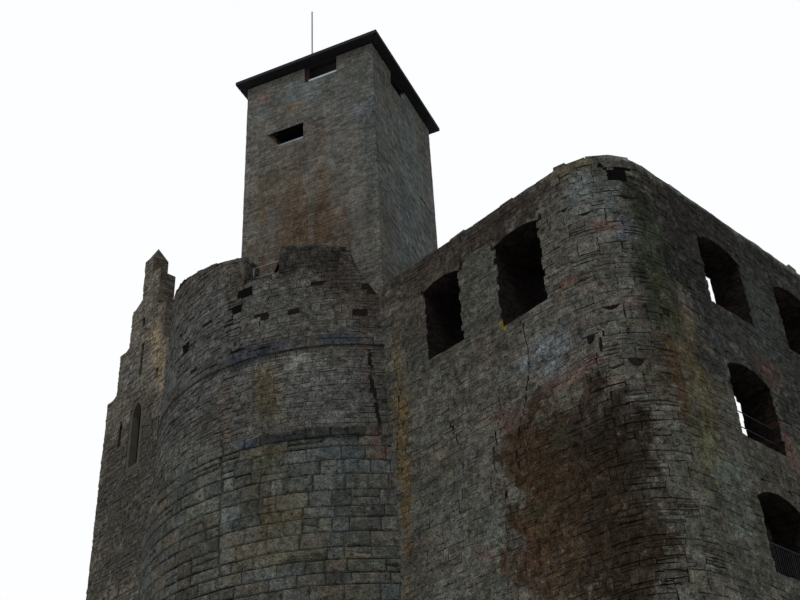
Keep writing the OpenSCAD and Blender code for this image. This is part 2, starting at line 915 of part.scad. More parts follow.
module gable_outer_wall() {
    color("slategray") on_site() gable_side(gable_near + gable_width - gable_wall);
}

module gable_near_wall() {
    color("slategray") on_site() difference() {
        gable_side(gable_near);
        mantle_space();
    }
}

module gable_back_wall() {
    color("gray") on_site() translate([gable_length - house_left, 0, 0]) mirror([1, 0, 0])
        difference() {
            translate([0, gable_near, 0]) cube([gable_wall, gable_width, gable_eaves]);
            lancet_cut(-over, gable_wall + over, 0);
        }
}

module gable_back_steps() {
    color("dimgray") on_site() translate([gable_length - house_left, 0, 0])
        mirror([1, 0, 0]) stepped_wall();
}

// Short wall that closes the space between the mantle wall and the gable
module gable_link_wall() {
    color("gray") on_site() difference() {
        translate([-house_left, mantle_inner - gable_wall, 0])
            cube([gable_wall, gable_near - mantle_inner + gable_wall, gable_eaves]);
        mantle_space();
    }
}

keep_shaft_front();
keep_shaft_right();
keep_shaft_back();
keep_shaft_left();
keep_top_front();
keep_top_right();
keep_top_back();
keep_top_left();
keep_floors();
keep_sills();
keep_lookout_posts();
keep_wall_plate();
keep_eaves_boards();
keep_fascia();
keep_roof();
keep_mast();
mantle_wall_left();
mantle_wall_gap();
mantle_wall_front();
mantle_wall_broken();
mantle_wall_house();
mantle_wall_right();
mantle_wall_back();
mantle_wall_gable();
terrace_floor();
terrace_gap_rail();
house_front_corner();
house_left_wall();
house_front_bay_1();
house_front_bay_2();
house_front_bay_3();
house_end_corner();
house_end_wall();
house_back_bay_1();
house_back_bay_2();
house_ground_floor();
house_window_rails();
gable_front_wall();
gable_front_steps();
gable_lancet_frame();
gable_outer_wall();
gable_near_wall();
gable_back_wall();
gable_back_steps();
gable_link_wall();
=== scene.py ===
import math
import random

import bmesh
import bpy
from mathutils import Matrix, Vector, noise


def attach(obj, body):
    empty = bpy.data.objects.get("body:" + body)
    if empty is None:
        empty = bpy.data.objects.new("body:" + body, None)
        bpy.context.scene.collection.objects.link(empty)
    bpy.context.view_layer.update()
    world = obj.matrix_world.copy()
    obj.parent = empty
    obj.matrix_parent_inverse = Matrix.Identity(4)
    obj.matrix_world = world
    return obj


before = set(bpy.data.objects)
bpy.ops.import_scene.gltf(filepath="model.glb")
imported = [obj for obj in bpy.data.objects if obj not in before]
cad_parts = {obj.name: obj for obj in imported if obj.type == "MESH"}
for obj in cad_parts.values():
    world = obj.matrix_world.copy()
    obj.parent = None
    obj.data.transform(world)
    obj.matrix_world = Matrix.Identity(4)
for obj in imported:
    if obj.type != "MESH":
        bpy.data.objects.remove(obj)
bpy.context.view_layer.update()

# Foot of the round mantle wall: large squared sandstone blocks laid in level courses
# round the keep, worn round at their edges, some courses blue-grey and some ochre,
# and split in places by cracks that follow the joints.
mantle_axis = Vector((-4.11, 1.76, 0.0))
mantle_radius = 7.45
mantle_lean = 0.54 / 18.90
base_step = 0.04
base_top = 9.90
block_heights = (0.36, 0.54)
block_lengths = (0.40, 1.25)
shortest_row, shortest_end, smallest_chip = 0.08, 0.2, 0.003


def course_beds(low, high, sizes, dice):
    """Joints between low and high, spaced by stones of random size that fit exactly."""
    beds = [low, low + dice.uniform(*sizes)]
    while beds[-1] < high - sizes[0] / 2:
        beds.append(beds[-1] + dice.uniform(*sizes))
    fit = (high - low) / (beds[-1] - low)
    return [low + (bed - low) * fit for bed in beds]


def cut_out(parts, start, end):
    """Takes the stretch from start to end out of a row's parts."""
    left = []
    for low, high in parts:
        if end <= low or start >= high:
            left.append((low, high))
        else:
            left += [(low, start)] if start > low else []
            left += [(end, high)] if end < high else []
    return left


def told(value, spot):
    """A number, or what a function tells for a place in the drawing."""
    return value(spot.x, spot.y) if callable(value) else value


def ripple(along, level, wide, high, seed):
    """Smooth random swing about zero at a place in the drawing, closer where wide and high
    are larger."""
    return noise.noise(Vector((along * wide, level * high, seed)))


def filled(spot):
    """How far the mortar still fills the joints, from 0 where it is washed out to 1."""
    return min(max(0.48 + 2.0 * ripple(spot.x, spot.y, 0.6, 0.9, 31.0), 0.0), 1.0)


class Stonework:
    """The stones of one wall in a flat drawing: x along it, y upright and z outwards."""

    def __init__(self, dice):
        self.sheet = bmesh.new()
        self.dice = dice

    def beds(self, levels, heights):
        """Random courses that meet each of the levels. Two levels that lie close together
        hold one thin course."""
        beds = []
        for low, high in zip(levels, levels[1:]):
            if high - low > heights[0]:
                beds += course_beds(low, high, heights, self.dice)
        return beds if len(levels) == 2 else sorted({round(bed, 4) for bed in beds})

    def lay(self, levels, heights, spans, lengths, tall=0.0):
        """Rows of stones, of random heights or one to each level. Spans are the parts of a
        row, or tell them from its level. Tall is the share that fill two rows."""
        sheet, dice = self.sheet, self.dice
        beds = self.beds(levels, heights) if heights else levels
        row_parts = spans if callable(spans) else lambda level: spans
        rise = sheet.faces.layers.float.new("rise")
        tall_stones, taken = [], []
        for n, (low, high) in enumerate(zip(beds, beds[1:])):
            parts = row_parts((low + high) / 2)
            for first, last in taken:
                parts = cut_out(parts, first, last)
            taken = []
            above = row_parts((high + beds[n + 2]) / 2) if tall and n + 2 < len(beds) else []
            for start, end in parts:
                if end - start < shortest_row:
                    continue
                joints = course_beds(start, end, lengths, dice)
                count = len(joints) - 1
                row = bmesh.ops.create_grid(sheet, x_segments=count, y_segments=1, size=0.5)["verts"]
                for corner in row:
                    joint = joints[round((corner.co.x + 0.5) * count)]
                    corner.co = (joint, high if corner.co.y > 0 else low, 0.0)
                stones = sorted({stone for corner in row for stone in corner.link_faces},
                                key=lambda stone: stone.calc_center_median().x)
                for stone, first, last in zip(stones, joints, joints[1:]):
                    if dice.random() < tall and any(a <= first and last <= b for a, b in above):
                        stone[rise] = beds[n + 2]
                        taken.append((first, last))
                        tall_stones.append(stone)
        if tall_stones:
            bmesh.ops.split(sheet, geom=tall_stones)
        for stone in sheet.faces:
            if stone[rise]:
                middle = stone.calc_center_median().y
                for corner in stone.verts:
                    if corner.co.y > middle:
                        corner.co.y = stone[rise]
        sheet.faces.layers.float.remove(rise)
        return self

    def part(self, share, tallest, longest):
        """Parts a share of the stones, and the ones that are too tall, into two thin ones,
        and breaks long edges so that they can bend."""
        for stone in list(self.sheet.faces):
            levels = [corner.co.y for corner in stone.verts]
            parted = told(share, stone.calc_center_median())
            if max(levels) - min(levels) > tallest or self.dice.random() < parted:
                sides = [edge for edge in stone.edges
                         if abs(edge.verts[0].co.y - edge.verts[1].co.y) >
                         abs(edge.verts[0].co.x - edge.verts[1].co.x)]
                if len(sides) == 2:
                    ends = [bmesh.utils.edge_split(edge, edge.verts[0], self.dice.uniform(0.38, 0.62))[1]
                            for edge in sides]
                    bmesh.utils.face_split(stone, *ends)
        for edge in list(self.sheet.edges):
            if edge.calc_length() > longest:
                bmesh.utils.edge_split(edge, edge.verts[0], self.dice.uniform(0.4, 0.6))
        return self

    def sway(self, rise, seed, slip):
        """Lets the courses rise and fall together, and shifts each corner a little."""
        for corner in self.sheet.verts:
            slack = told(slip, corner.co)
            wide = ripple(corner.co.x, corner.co.y, 0.45, 0.9, seed)
            near = ripple(corner.co.x, corner.co.y, 2.3, 2.0, seed + 5.0)
            corner.co.y += rise * (wide + 0.45 * near)
            corner.co.x += self.dice.uniform(-slack, slack)
            corner.co.y += self.dice.uniform(-slack, slack) * 0.6
        return self

    def drop(self, fallen):
        """Leaves out the stones whose middle is at a fallen place."""
        lost = [stone for stone in self.sheet.faces if fallen(stone.calc_center_median())]
        bmesh.ops.delete(self.sheet, geom=lost, context="FACES")
        return self

    def cut(self, top):
        """Leaves out the stones above the wall's broken top."""
        return self.drop(lambda middle: middle.y > told(top, middle) - 0.02)

    def lower(self, top):
        """Brings the last stones down to the wall's top."""
        for corner in self.sheet.verts:
            corner.co.y = min(corner.co.y, told(top, corner.co))
        return self

    def dress(self, joint, relief, loose=0.3):
        """Raises each flat stone from its joints with a sloping edge. Loose is the share
        of stones whose joints are open and dark."""
        sheet, dice = self.sheet, self.dice
        tint = sheet.faces.layers.float.new("tint")
        edge = sheet.faces.layers.float.new("edge")
        chips = [stone for stone in sheet.faces if stone.calc_area() < smallest_chip]
        bmesh.ops.delete(sheet, geom=chips, context="FACES")
        stones = list(sheet.faces)
        tight, wide = [], []
        for stone in stones:
            stone[tint] = dice.random()
            share = told(loose, stone.calc_center_median())
            (wide if dice.random() < share else tight).append(stone)
        for group, gap, dark in ((tight, joint * 0.6, (0.0, 0.25)), (wide, joint * 1.8, (0.7, 1.2))):
            rims = bmesh.ops.inset_individual(sheet, faces=group, thickness=gap)["faces"]
            inside = set(group)
            for rim in rims:
                lip = [side for side in rim.edges if any(face in inside for face in side.link_faces)][0]
                away = rim.calc_center_median() - (lip.verts[0].co + lip.verts[1].co) / 2
                # Painted shade under each stone: the rim below a stone gets most of its darkness and the
                # rim above it little, added to the dark of an open joint.
                below = 0.65 - 0.55 * away.y / max(away.length, 1e-6)
                rim[edge] = dice.uniform(*dark) * below * (1.0 - 0.7 * filled(rim.calc_center_median()))
        for stone in stones:
            height = told(relief, stone.calc_center_median())
            lift = height * dice.uniform(0.35, 1.0)
            for corner in stone.verts:
                corner.co.z = max(0.3 * height, lift + height * dice.uniform(-0.3, 0.3))
        for corner in sheet.verts:
            if corner.co.z == 0.0 and not corner.is_boundary:
                corner.co.z = 0.75 * told(relief, corner.co) * filled(corner.co)
        return self


def made_object(name, sheet, finish):
    """The object in the scene that a drawing or a form becomes."""
    mesh = bpy.data.meshes.new(name)
    sheet.to_mesh(mesh)
    sheet.free()
    mesh.materials.append(finish)
    made = bpy.data.objects.new(name, mesh)
    bpy.context.scene.collection.objects.link(made)
    return made


def set_in_wall(name, sheet, place, finish):
    """Bends a drawing on to the building and makes it a piece of it."""
    for corner in sheet.verts:
        corner.co = place(*corner.co)
        corner.co.z = max(corner.co.z, 0.0)
    piece = made_object(name, sheet, finish)
    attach(piece, "root")


def tone(red, green, blue):
    """Colour for a node socket, from the levels that a painter reads off a screen."""
    levels = (level / 255 for level in (red, green, blue))
    return (*(level / 12.92 if level < 0.04045 else ((level + 0.055) / 1.055) ** 2.4
              for level in levels), 1.0)


def add_node(tree, kind, inputs=(), **settings):
    """A shader node, with a value or a link for each of its inputs."""
    node = tree.nodes.new("ShaderNode" + kind)
    for name, value in settings.items():
        setattr(node, name, value)
    for socket, value in dict(inputs).items():
        if isinstance(value, bpy.types.NodeSocket):
            tree.links.new(value, node.inputs[socket])
        else:
            node.inputs[socket].default_value = value
    return node


class Finish:
    """A material whose colour is built up in layers. Colours are sockets or screen levels."""

    def __init__(self, name, roughness, gloss=0.03, metallic=0.0):
        self.material = bpy.data.materials.new(name)
        self.material.use_nodes = True
        self.tree = self.material.node_tree
        self.shader = self.tree.nodes["Principled BSDF"]
        self.shader.inputs["Roughness"].default_value = roughness
        self.shader.inputs["Specular IOR Level"].default_value = gloss
        self.shader.inputs["Metallic"].default_value = metallic
        self.place = self.add("TexCoord").outputs["Object"]
        ragged = self.add("TexNoise", {"Vector": self.place, "Scale": 1.1, "Detail": 9.0,
                                       "Roughness": 0.7})
        self.fray = self.add("VectorMath", {0: ragged.outputs["Color"], 1: (0.5, 0.5, 0.5)},
                             operation="SUBTRACT").outputs[0]
        self.frayed = self.add("VectorMath", {0: self.fray, 1: (0.6, 0.6, 0.6), 2: self.place},
                               operation="MULTIPLY_ADD").outputs[0]

    def add(self, kind, inputs=(), **settings):
        return add_node(self.tree, kind, inputs, **settings)

    def cloud(self, scale, detail=2.0, stretch=(1, 1, 1), rough=0.5):
        """Random mottling, mostly from 0.3 to 0.7."""
        moved = self.add("Mapping", {"Vector": self.place, "Scale": stretch})
        return self.add("TexNoise", {"Vector": moved.outputs[0], "Scale": scale,
                                     "Detail": detail, "Roughness": rough}).outputs[0]

    def between(self, value, low, high, to_low=0.0, to_high=1.0):
        return self.add("MapRange", {"Value": value, "From Min": low, "From Max": high,
                                     "To Min": to_low, "To Max": to_high}).outputs[0]

    def times(self, one, other):
        return self.add("Math", {0: one, 1: other}, operation="MULTIPLY").outputs[0]

    def layer(self, below, above, amount, blend="MIX"):
        below, above = (colour if isinstance(colour, bpy.types.NodeSocket) else tone(*colour)
                        for colour in (below, above))
        return self.add("Mix", {0: amount, 6: below, 7: above}, data_type="RGBA",
                        blend_type=blend).outputs[2]

    def ramp(self, value, tones):
        node = self.add("ValToRGB", {0: value})
        stops = node.color_ramp.elements
        while len(stops) < len(tones):
            stops.new(0.5)
        for n, levels in enumerate(tones):
            stops[n].position = n / (len(tones) - 1)
            stops[n].color = tone(*levels)
        return node.outputs[0]

    def spot(self, middle, reach, strength=1.0, core=0.75):
        """Mask of a ragged patch on the wall, round a place and of a given reach."""
        away = self.add("VectorMath", {0: self.place, 1: middle}, operation="SUBTRACT")
        scaled = self.add("VectorMath", {0: away.outputs[0], 1: reach}, operation="DIVIDE")
        torn = self.add("VectorMath", {0: self.fray, 1: (3.2, 3.2, 3.2), 2: scaled.outputs[0]},
                        operation="MULTIPLY_ADD")
        length = self.add("VectorMath", {0: torn.outputs[0]}, operation="LENGTH")
        return self.between(length.outputs["Value"], 1.05, core, 0.0, strength)

    def upward(self, low, high, amount):
        """Mask of the faces that look up, where growth settles."""
        normal = self.add("NewGeometry").outputs["Normal"]
        height = self.add("SeparateXYZ", {0: normal}).outputs[2]
        return self.between(height, low, high, 0.0, amount)

    def done(self, colour, height, strength, depth=0.02):
        """The material with its relief, whose height is a mask or the scale of a grain."""
        if not isinstance(height, bpy.types.NodeSocket):
            height = self.cloud(height, 6.0, rough=0.65)
        relief = self.add("Bump", {"Strength": strength, "Distance": depth, "Height": height})
        self.tree.links.new(colour, self.shader.inputs["Base Color"])
        self.tree.links.new(relief.outputs[0], self.shader.inputs["Normal"])
        return self.material


def stone_finish(name, tones, blotches, stains=(), streak=None, top_growth=0.5, pits=1.0, bond=0.5,
                 growth=0.45, contrast=1.0, drips=False):
    """Weathered stone: a colour for each stone, blotches that run over several of them,
    rain streaks, local stains, lichen, painted shade of pits, and grime in the open joints
    with painted shade under each stone. A stain has its middle, reach, colour, strength
    and, where it is patchy, how much of it is its core."""
    finish = Finish(name, 0.95)
    tint = finish.add("Attribute", attribute_name="tint").outputs["Fac"]
    edge = finish.add("Attribute", attribute_name="edge").outputs["Fac"]
    pick = finish.add("TexWhiteNoise", {"W": finish.times(tint, 97.0)}, noise_dimensions="1D")
    blotch = finish.ramp(finish.between(finish.cloud(0.9, 9.0, rough=0.62), 0.3, 0.7), blotches)
    colour = finish.layer(finish.ramp(pick.outputs["Value"], tones), blotch, 1.0 - bond)
    if streak:
        runs = finish.cloud(1.3, 6.0, (1, 1, 0.08), 0.6)
        colour = finish.layer(colour, streak, finish.between(runs, 0.5, 0.75, 0.0, 0.6))
    patchy = finish.times(finish.between(finish.cloud(3.4, 7.0, rough=0.6), 0.36, 0.54, 0.65, 1.0),
                          finish.between(tint, 0.0, 0.6, 0.75, 1.0))
    flecks = finish.between(finish.cloud(11.0, 6.0, rough=0.7), 0.42, 0.56, 0.45, 1.0)
    if drips:
        trails = finish.cloud(2.6, 5.0, (1, 1, 0.06), 0.6)
        flecks = finish.times(flecks, finish.between(trails, 0.42, 0.56, 0.4, 1.25))
    for middle, reach, stain, strength, *core in stains:
        mask = finish.spot(middle, reach, strength, *core)
        if core:
            mask = finish.times(mask, flecks)
        colour = finish.layer(colour, stain, finish.times(mask, patchy))
    shade = finish.between(tint, 0.0, 1.0, 0.76, 1.22)
    for scale, detail, swing in ((0.7, 4.0, 0.20), (5.0, 6.0, 0.44 * contrast),
                                 (20.0, 3.0, 0.38 * contrast)):
        mottling = finish.cloud(scale, detail, rough=0.6)
        shade = finish.times(shade, finish.between(mottling, 0.34, 0.66, 1.0 - swing, 1.0 + swing))
    # Painted shade: dark spots, drawn out level, that stand for the shadow in pits and crevices of the
    # stone; pits sets how dark they go.
    hollow = finish.between(finish.cloud(7.0, 4.0, (1, 1, 2.2), 0.6), 0.575, 0.64, 1.0, 1.0 - 0.65 * pits)
    colour = finish.layer(colour, finish.times(shade, hollow), 1.0, "MULTIPLY")
    lichen = finish.between(finish.cloud(5.0, 8.0, rough=0.7), 0.62, 0.70, 0.0, growth)
    colour = finish.layer(colour, (112, 113, 104), lichen)
    # Near-black grime in the open joints, together with painted shade on the rims under each stone; the
    # edge attribute holds both.
    joint_dirt_and_shade = finish.times(edge, finish.between(finish.cloud(4.5, 3.0), 0.42, 0.58, 0.3, 1.0))
    colour = finish.layer(colour, (18, 16, 14), joint_dirt_and_shade)
    if top_growth:
        moss = finish.ramp(finish.cloud(2.2, 6.0), [(44, 42, 32), (84, 84, 66), (60, 56, 44)])
        colour = finish.layer(colour, moss, finish.upward(0.7, 0.95, top_growth))
    return finish.done(colour, 9.0, 0.8, 0.04)


def at_angle(degrees):
    """Place along the mantle wall's drawing, from the turn round its axis."""
    return math.radians(degrees) * mantle_radius


def turned(centre, radius, angle, level):
    """A place at a radius and an angle round a centre."""
    return centre + Vector((radius * math.cos(angle), radius * math.sin(angle), level))


def mantle_face(step):
    """Bends a drawing on to the mantle wall's outer face."""
    def place(along, level, proud):
        radius = mantle_radius - level * mantle_lean + step + proud
        return turned(mantle_axis, radius, along / mantle_radius, level)
    return place


def beside_cracks(cracks, ends, level):
    """The row of stretches between the ends, parted where a crack crosses it."""
    row = []
    for start, end in zip(ends, ends[1:]):
        parts = [start, end]
        for path, width in cracks:
            for (u0, z0), (u1, z1) in zip(path, path[1:]):
                if min(z0, z1) <= level < max(z0, z1):
                    wander = 0.12 * ripple(level, u0, 3.1, 1, 0.5)
                    middle = u0 + (u1 - u0) * (level - z0) / (z1 - z0) + wander
                    if start + shortest_end < middle < end - shortest_end:
                        parts += [middle - width / 2, middle + width / 2]
        parts.sort()
        row += zip(parts[::2], parts[1::2])
    return row


mantle_cracks = [([(at_angle(turn), level) for turn, level in path], width) for path, width in (
    (((193.0, 11.4), (195.0, 9.3), (195.8, 6.0)), 0.05),
    (((222.3, 8.7), (219.0, 7.3), (216.5, 5.6)), 0.05),
    (((234.8, 12.8), (236.3, 11.0), (238.0, 9.0)), 0.13),
    (((196.1, 16.2), (197.6, 15.0), (195.8, 13.5)), 0.06),
    (((208.5, 16.0), (204.5, 14.4), (205.5, 13.5)), 0.04),
)]
mantle_ends = (at_angle(118), at_angle(438))
blocks = Stonework(random.Random(11))
blocks.lay((0.0, base_top), block_heights,
           lambda level: beside_cracks(mantle_cracks, mantle_ends, level), block_lengths, tall=0.03)
blocks.part(share=0.07, tallest=0.9, longest=0.5).sway(rise=0.03, seed=3.0, slip=0.02)
blocks.dress(joint=0.02, relief=0.05,
             loose=lambda along, level: 0.75 if along < at_angle(203) else 0.12)
crowns = [stone for stone in blocks.sheet.faces if len(stone.verts) > 4 or stone.calc_area() > 0.04]
bmesh.ops.inset_individual(blocks.sheet, faces=crowns, thickness=0.05, depth=0.026)
block_tones = [(60, 62, 56), (56, 58, 58), (68, 68, 64), (58, 64, 66), (66, 62, 54), (50, 50, 49),
               (58, 62, 54), (74, 66, 58), (62, 62, 60)]
block_blotches = [(48, 50, 48), (58, 60, 56), (64, 62, 54), (60, 64, 64)]
block_stains = [
    ((-9.6, -2.6, 9.65), (2.8, 2.8, 0.27), (30, 31, 33), 0.9),
    ((-10.4, -1.7, 9.2), (0.9, 0.9, 0.3), (74, 64, 48), 0.6, 0.4),
    ((-10.4, -1.6, 8.9), (0.45, 0.45, 0.35), (50, 60, 46), 0.7),
    ((-10.3, -2.0, 7.4), (1.3, 1.2, 2.0), (73, 65, 44), 0.6, 0.4),
    ((-11.0, -0.9, 9.9), (0.6, 0.7, 0.3), (54, 62, 72), 0.7),
    ((-11.3, 0.4, 8.6), (0.8, 1.6, 1.6), (80, 84, 78), 0.55, 0.3),
    ((-9.4, -3.2, 8.6), (1.6, 1.6, 0.7), (60, 67, 69), 0.5, 0.4),
    ((-8.6, -3.9, 6.6), (1.8, 1.4, 0.5), (54, 61, 64), 0.5, 0.4),
    ((-9.8, -2.5, 8.4), (1.1, 1.1, 0.9), (72, 74, 71), 0.7),
    ((-10.2, -2.2, 5.6), (2.6, 2.2, 0.5), (68, 66, 50), 0.6, 0.4),
    ((-8.0, -4.3, 9.6), (0.25, 0.3, 0.9), (56, 42, 36), 0.6),
]
block_finish = stone_finish("mantle_blocks", block_tones, block_blotches, block_stains, bond=0.65)
set_in_wall("mantle_base_blocks", blocks.sheet, mantle_face(base_step), block_finish)

# Mantle wall above the blocks: thin slabs of split sandstone in low courses, with a course
# of long blue-grey blocks standing proud at the terrace's foot. The top is broken off in
# slopes and steps, and stones have fallen from its left part.
course_low, course_high, course_step = 13.00, 13.44, 0.05
slab_heights = (0.11, 0.22)
slab_lengths = (0.22, 0.66)
parapet_limit = 19.0
parapet_ends = [at_angle(turn) for turn in (118, 150, 198, 209.8, 230.9, 238, 290, 345, 425, 438)]
ragged_part = at_angle(200)
fallen_spots = [(197.7, 15.95, 0.28), (197.1, 15.25, 0.28), (204.6, 14.61, 0.2), (174.8, 14.96, 0.22),
                (193.0, 14.74, 0.12), (182.0, 16.6, 0.12), (188.5, 14.1, 0.14), (168.0, 15.9, 0.15),
                (160.0, 13.9, 0.18), (186.0, 12.0, 0.14), (152.0, 16.2, 0.14), (235.8, 15.3, 0.2),
                (233.5, 14.4, 0.14), (236.5, 13.2, 0.16), (190.0, 16.8, 0.14), (179.0, 13.6, 0.14),
                (197.4, 13.5, 0.2), (207.0, 15.5, 0.14), (214.0, 14.5, 0.14), (226.0, 16.4, 0.12),
                (235.2, 12.3, 0.14), (236.2, 11.3, 0.18), (236.9, 10.3, 0.2), (221.0, 15.6, 0.12),
                (192.0, 13.9, 0.12), (185.0, 15.4, 0.14), (176.0, 12.6, 0.12)]


def mantle_top(angle, radius):
    """Level of the wall's top, which slopes and steps as pieces of the parapet have gone."""
    turn = math.degrees(angle) % 360
    for a0, z0, a1, z1 in ((150, 18.90, 198, 17.57), (198, 16.36, 209.8, 16.36),
                           (209.8, 17.52, 230.9, 17.13), (230.9, 16.48, 238, 15.15),
                           (238, 15.15, 290, 17.13), (290, 17.13, 345, 17.57),
                           (-15, 17.57, 65, 18.40), (65, 18.40, 150, 18.90)):
        here = turn - 360 if a0 < 0 and turn > 180 else turn
        if a0 <= here < a1:
            half = math.radians(a1 - a0) / 2
            reach = (mantle_radius - z0 * mantle_lean) * math.sin(half)
            across = radius * math.sin(math.radians(here - (a0 + a1) / 2))
            return (z0 + z1) / 2 + (z1 - z0) / 2 * across / reach
    return 17.57


def has_fallen(middle):
    """Whether a slab was at one of the places where single stones are gone."""
    return any(abs(middle.x - at_angle(turn)) < reach and abs(middle.y - level) < reach * 0.7
               for turn, level, reach in fallen_spots)


def slab_relief(along, level):
    """The left part has lost its face and stands rougher than the rest."""
    rough = ripple(along, level, 0.8, 0.8, 4.0)
    return (0.045 if along < ragged_part else 0.03) * (1 + 0.5 * rough)


def slab_gaps(along, level):
    wear = 0.24 + 0.6 * ripple(along, level, 0.5, 0.7, 6.0)
    return wear + (0.2 if along < ragged_part or level > 15.5 else 0.0)


def slab_top(along, level):
    return mantle_top(along / mantle_radius, 6.9)


slabs = Stonework(random.Random(12))
slabs.lay((base_top, course_low), slab_heights,
          lambda level: beside_cracks(mantle_cracks, mantle_ends, level), slab_lengths, tall=0.05)
slabs.lay((course_high, parapet_limit), slab_heights,
          lambda level: beside_cracks(mantle_cracks, parapet_ends, level), slab_lengths, tall=0.12)
slabs.part(share=0.12, tallest=0.5, longest=0.5)
slabs.sway(rise=0.06, seed=8.0, slip=lambda along, level: 0.045 if along < ragged_part else 0.02)
slabs.cut(slab_top).lower(slab_top).drop(has_fallen)
slabs.dress(joint=0.012, relief=slab_relief, loose=slab_gaps)
slab_tones = [(60, 56, 50), (66, 64, 60), (72, 72, 68), (62, 60, 56), (68, 66, 60), (76, 75, 70),
              (62, 56, 50), (64, 66, 66)]
slab_blotches = [(54, 52, 48), (66, 66, 64), (62, 62, 58), (72, 71, 66)]
slab_stains = [
    ((-10.9, 2.2, 14.2), (1.5, 3.4, 3.4), (62, 62, 64), 0.5),
    ((-10.4, -1.5, 11.4), (0.8, 0.55, 1.9), (68, 60, 41), 0.85, 0.5),
    ((-9.9, -2.3, 17.2), (2.1, 2.1, 1.1), (34, 32, 29), 1.0),
    ((-9.4, -3.0, 16.2), (1.9, 1.8, 1.0), (34, 31, 28), 0.9, 0.5),
    ((-9.6, -2.7, 12.0), (1.0, 1.0, 0.7), (80, 81, 77), 0.6),
    ((-9.0, -3.4, 15.8), (0.9, 0.9, 1.0), (22, 20, 18), 0.9, 0.5),
    ((-8.8, -3.6, 15.2), (0.9, 0.9, 1.6), (46, 39, 34), 0.7),
    ((-8.1, -4.1, 14.4), (0.5, 0.6, 1.8), (48, 40, 34), 0.7),
    ((-10.95, -0.2, 16.4), (0.5, 0.6, 1.0), (52, 46, 36), 0.6),
    ((-11.0, 2.6, 17.6), (1.2, 2.4, 0.7), (60, 52, 46), 0.5),
    ((-10.95, -0.1, 11.2), (0.35, 0.3, 1.3), (70, 60, 54), 0.5),
    ((-8.2, -4.0, 12.0), (0.3, 0.4, 1.8), (62, 45, 39), 0.6),
    ((-8.1, -4.2, 11.0), (0.9, 0.9, 2.6), (42, 41, 39), 0.6),
    ((-9.6, -2.7, 12.6), (0.7, 0.6, 0.2), (100, 100, 94), 0.7),
    ((-9.0, -3.4, 11.2), (1.6, 1.4, 1.4), (66, 67, 69), 0.5),
    # Painted shadow: a thin dark band just under the course of proud blocks.
    ((-10.7, -0.9, 12.9), (1.2, 1.6, 0.16), (40, 42, 46), 0.6),
]
slab_finish = stone_finish("mantle_slabs", slab_tones, slab_blotches, slab_stains, (56, 53, 48))
set_in_wall("mantle_rubble", slabs.sheet, mantle_face(0.0), slab_finish)

course = Stonework(random.Random(13))
course.lay((course_low, (course_low + course_high) / 2 + 0.04, course_high), None,
           [mantle_ends], (0.4, 1.3), tall=0.25)
course.part(share=0.0, tallest=0.9, longest=0.5).sway(rise=0.02, seed=3.0, slip=0.018)
course.dress(joint=0.018, relief=0.06, loose=0.35)
course_stains = [(tuple(mantle_face(0.0)(at_angle(turn), 13.22, 0.0)), (reach, reach, 0.6), stain, 0.9)
                 for turn, reach, stain in (
                     (196, 0.5, (44, 47, 53)), (201, 0.6, (42, 45, 53)), (208, 0.7, (42, 45, 55)),
                     (213.5, 0.7, (56, 56, 54)), (206, 0.3, (32, 33, 36)), (227, 0.8, (46, 51, 57)))]
course_tones = [(60, 60, 58), (54, 54, 54), (66, 63, 58), (58, 60, 60), (64, 58, 53)]
course_finish = stone_finish("mantle_course", course_tones, [(52, 51, 49), (62, 61, 58), (60, 58, 54)],
                             course_stains, bond=0.6)
set_in_wall("mantle_course_blocks", course.sheet, mantle_face(course_step), course_finish)

# Broken top of the mantle wall and the back of its parapet: flat stones bedded across
# the wall, mossy and uneven, and rough slabs that face the terrace.
parapet_inner = 6.05
parapet_foot = 16.0


def mantle_cap(along, across, proud):
    """Bends a drawing on to the wall's top; its y runs from the outer edge to the inner."""
    angle = along / mantle_radius
    outer = mantle_radius - 17.5 * mantle_lean
    radius = outer - across * (outer - parapet_inner)
    return turned(mantle_axis, radius, angle, mantle_top(angle, radius) + proud)


def broken_end(angle, way):
    """Bends a drawing on to the end of a piece of parapet; way is the turn it faces."""
    radial = Vector((math.cos(math.radians(angle)), math.sin(math.radians(angle)), 0.0))
    turn = Vector((-radial.y, radial.x, 0.0)) * way

    def place(along, level, proud):
        outer = mantle_radius - level * mantle_lean
        radius = outer - along if way > 0 else parapet_inner + along
        return mantle_axis + radial * radius + turn * proud + Vector((0, 0, level))
    return place


def parapet_back(along, level, proud):
    """Bends a drawing, which runs the other way round, on to the parapet's inner face."""
    return turned(mantle_axis, parapet_inner - proud, -along / mantle_radius, level)


def back_top(along, level):
    return mantle_top(-along / mantle_radius, parapet_inner)


cap = Stonework(random.Random(14))
cap.lay((0.0, 0.3, 0.66, 1.0), None, list(zip(parapet_ends, parapet_ends[1:])), (0.22, 0.6))
cap.sway(rise=0.03, seed=2.0, slip=0.02)
cap.dress(joint=0.016,
          relief=lambda along, across: 0.05 + 0.13 * abs(ripple(along, across, 1, 1, 1.0)))
cap_finish = stone_finish("mantle_cap", [(44, 40, 36), (60, 56, 50), (50, 46, 42), (66, 62, 56)],
                          [(40, 38, 34), (58, 56, 48)], top_growth=0.6)
set_in_wall("mantle_top_stones", cap.sheet, mantle_cap, cap_finish)

dice = random.Random(16)
for angle, low, high, way in ((198.0, 16.36, 17.56, 1), (209.8, 16.36, 17.46, -1),
                              (230.9, 16.48, 17.10, 1)):
    end = Stonework(dice).lay((low, high), (0.14, 0.24), [(0.0, 0.9)], (0.2, 0.5))
    end.sway(rise=0.02, seed=angle, slip=0.02).dress(joint=0.014, relief=0.05, loose=0.6)
    set_in_wall("mantle_end_%d" % angle, end.sheet, broken_end(angle, way), slab_finish)

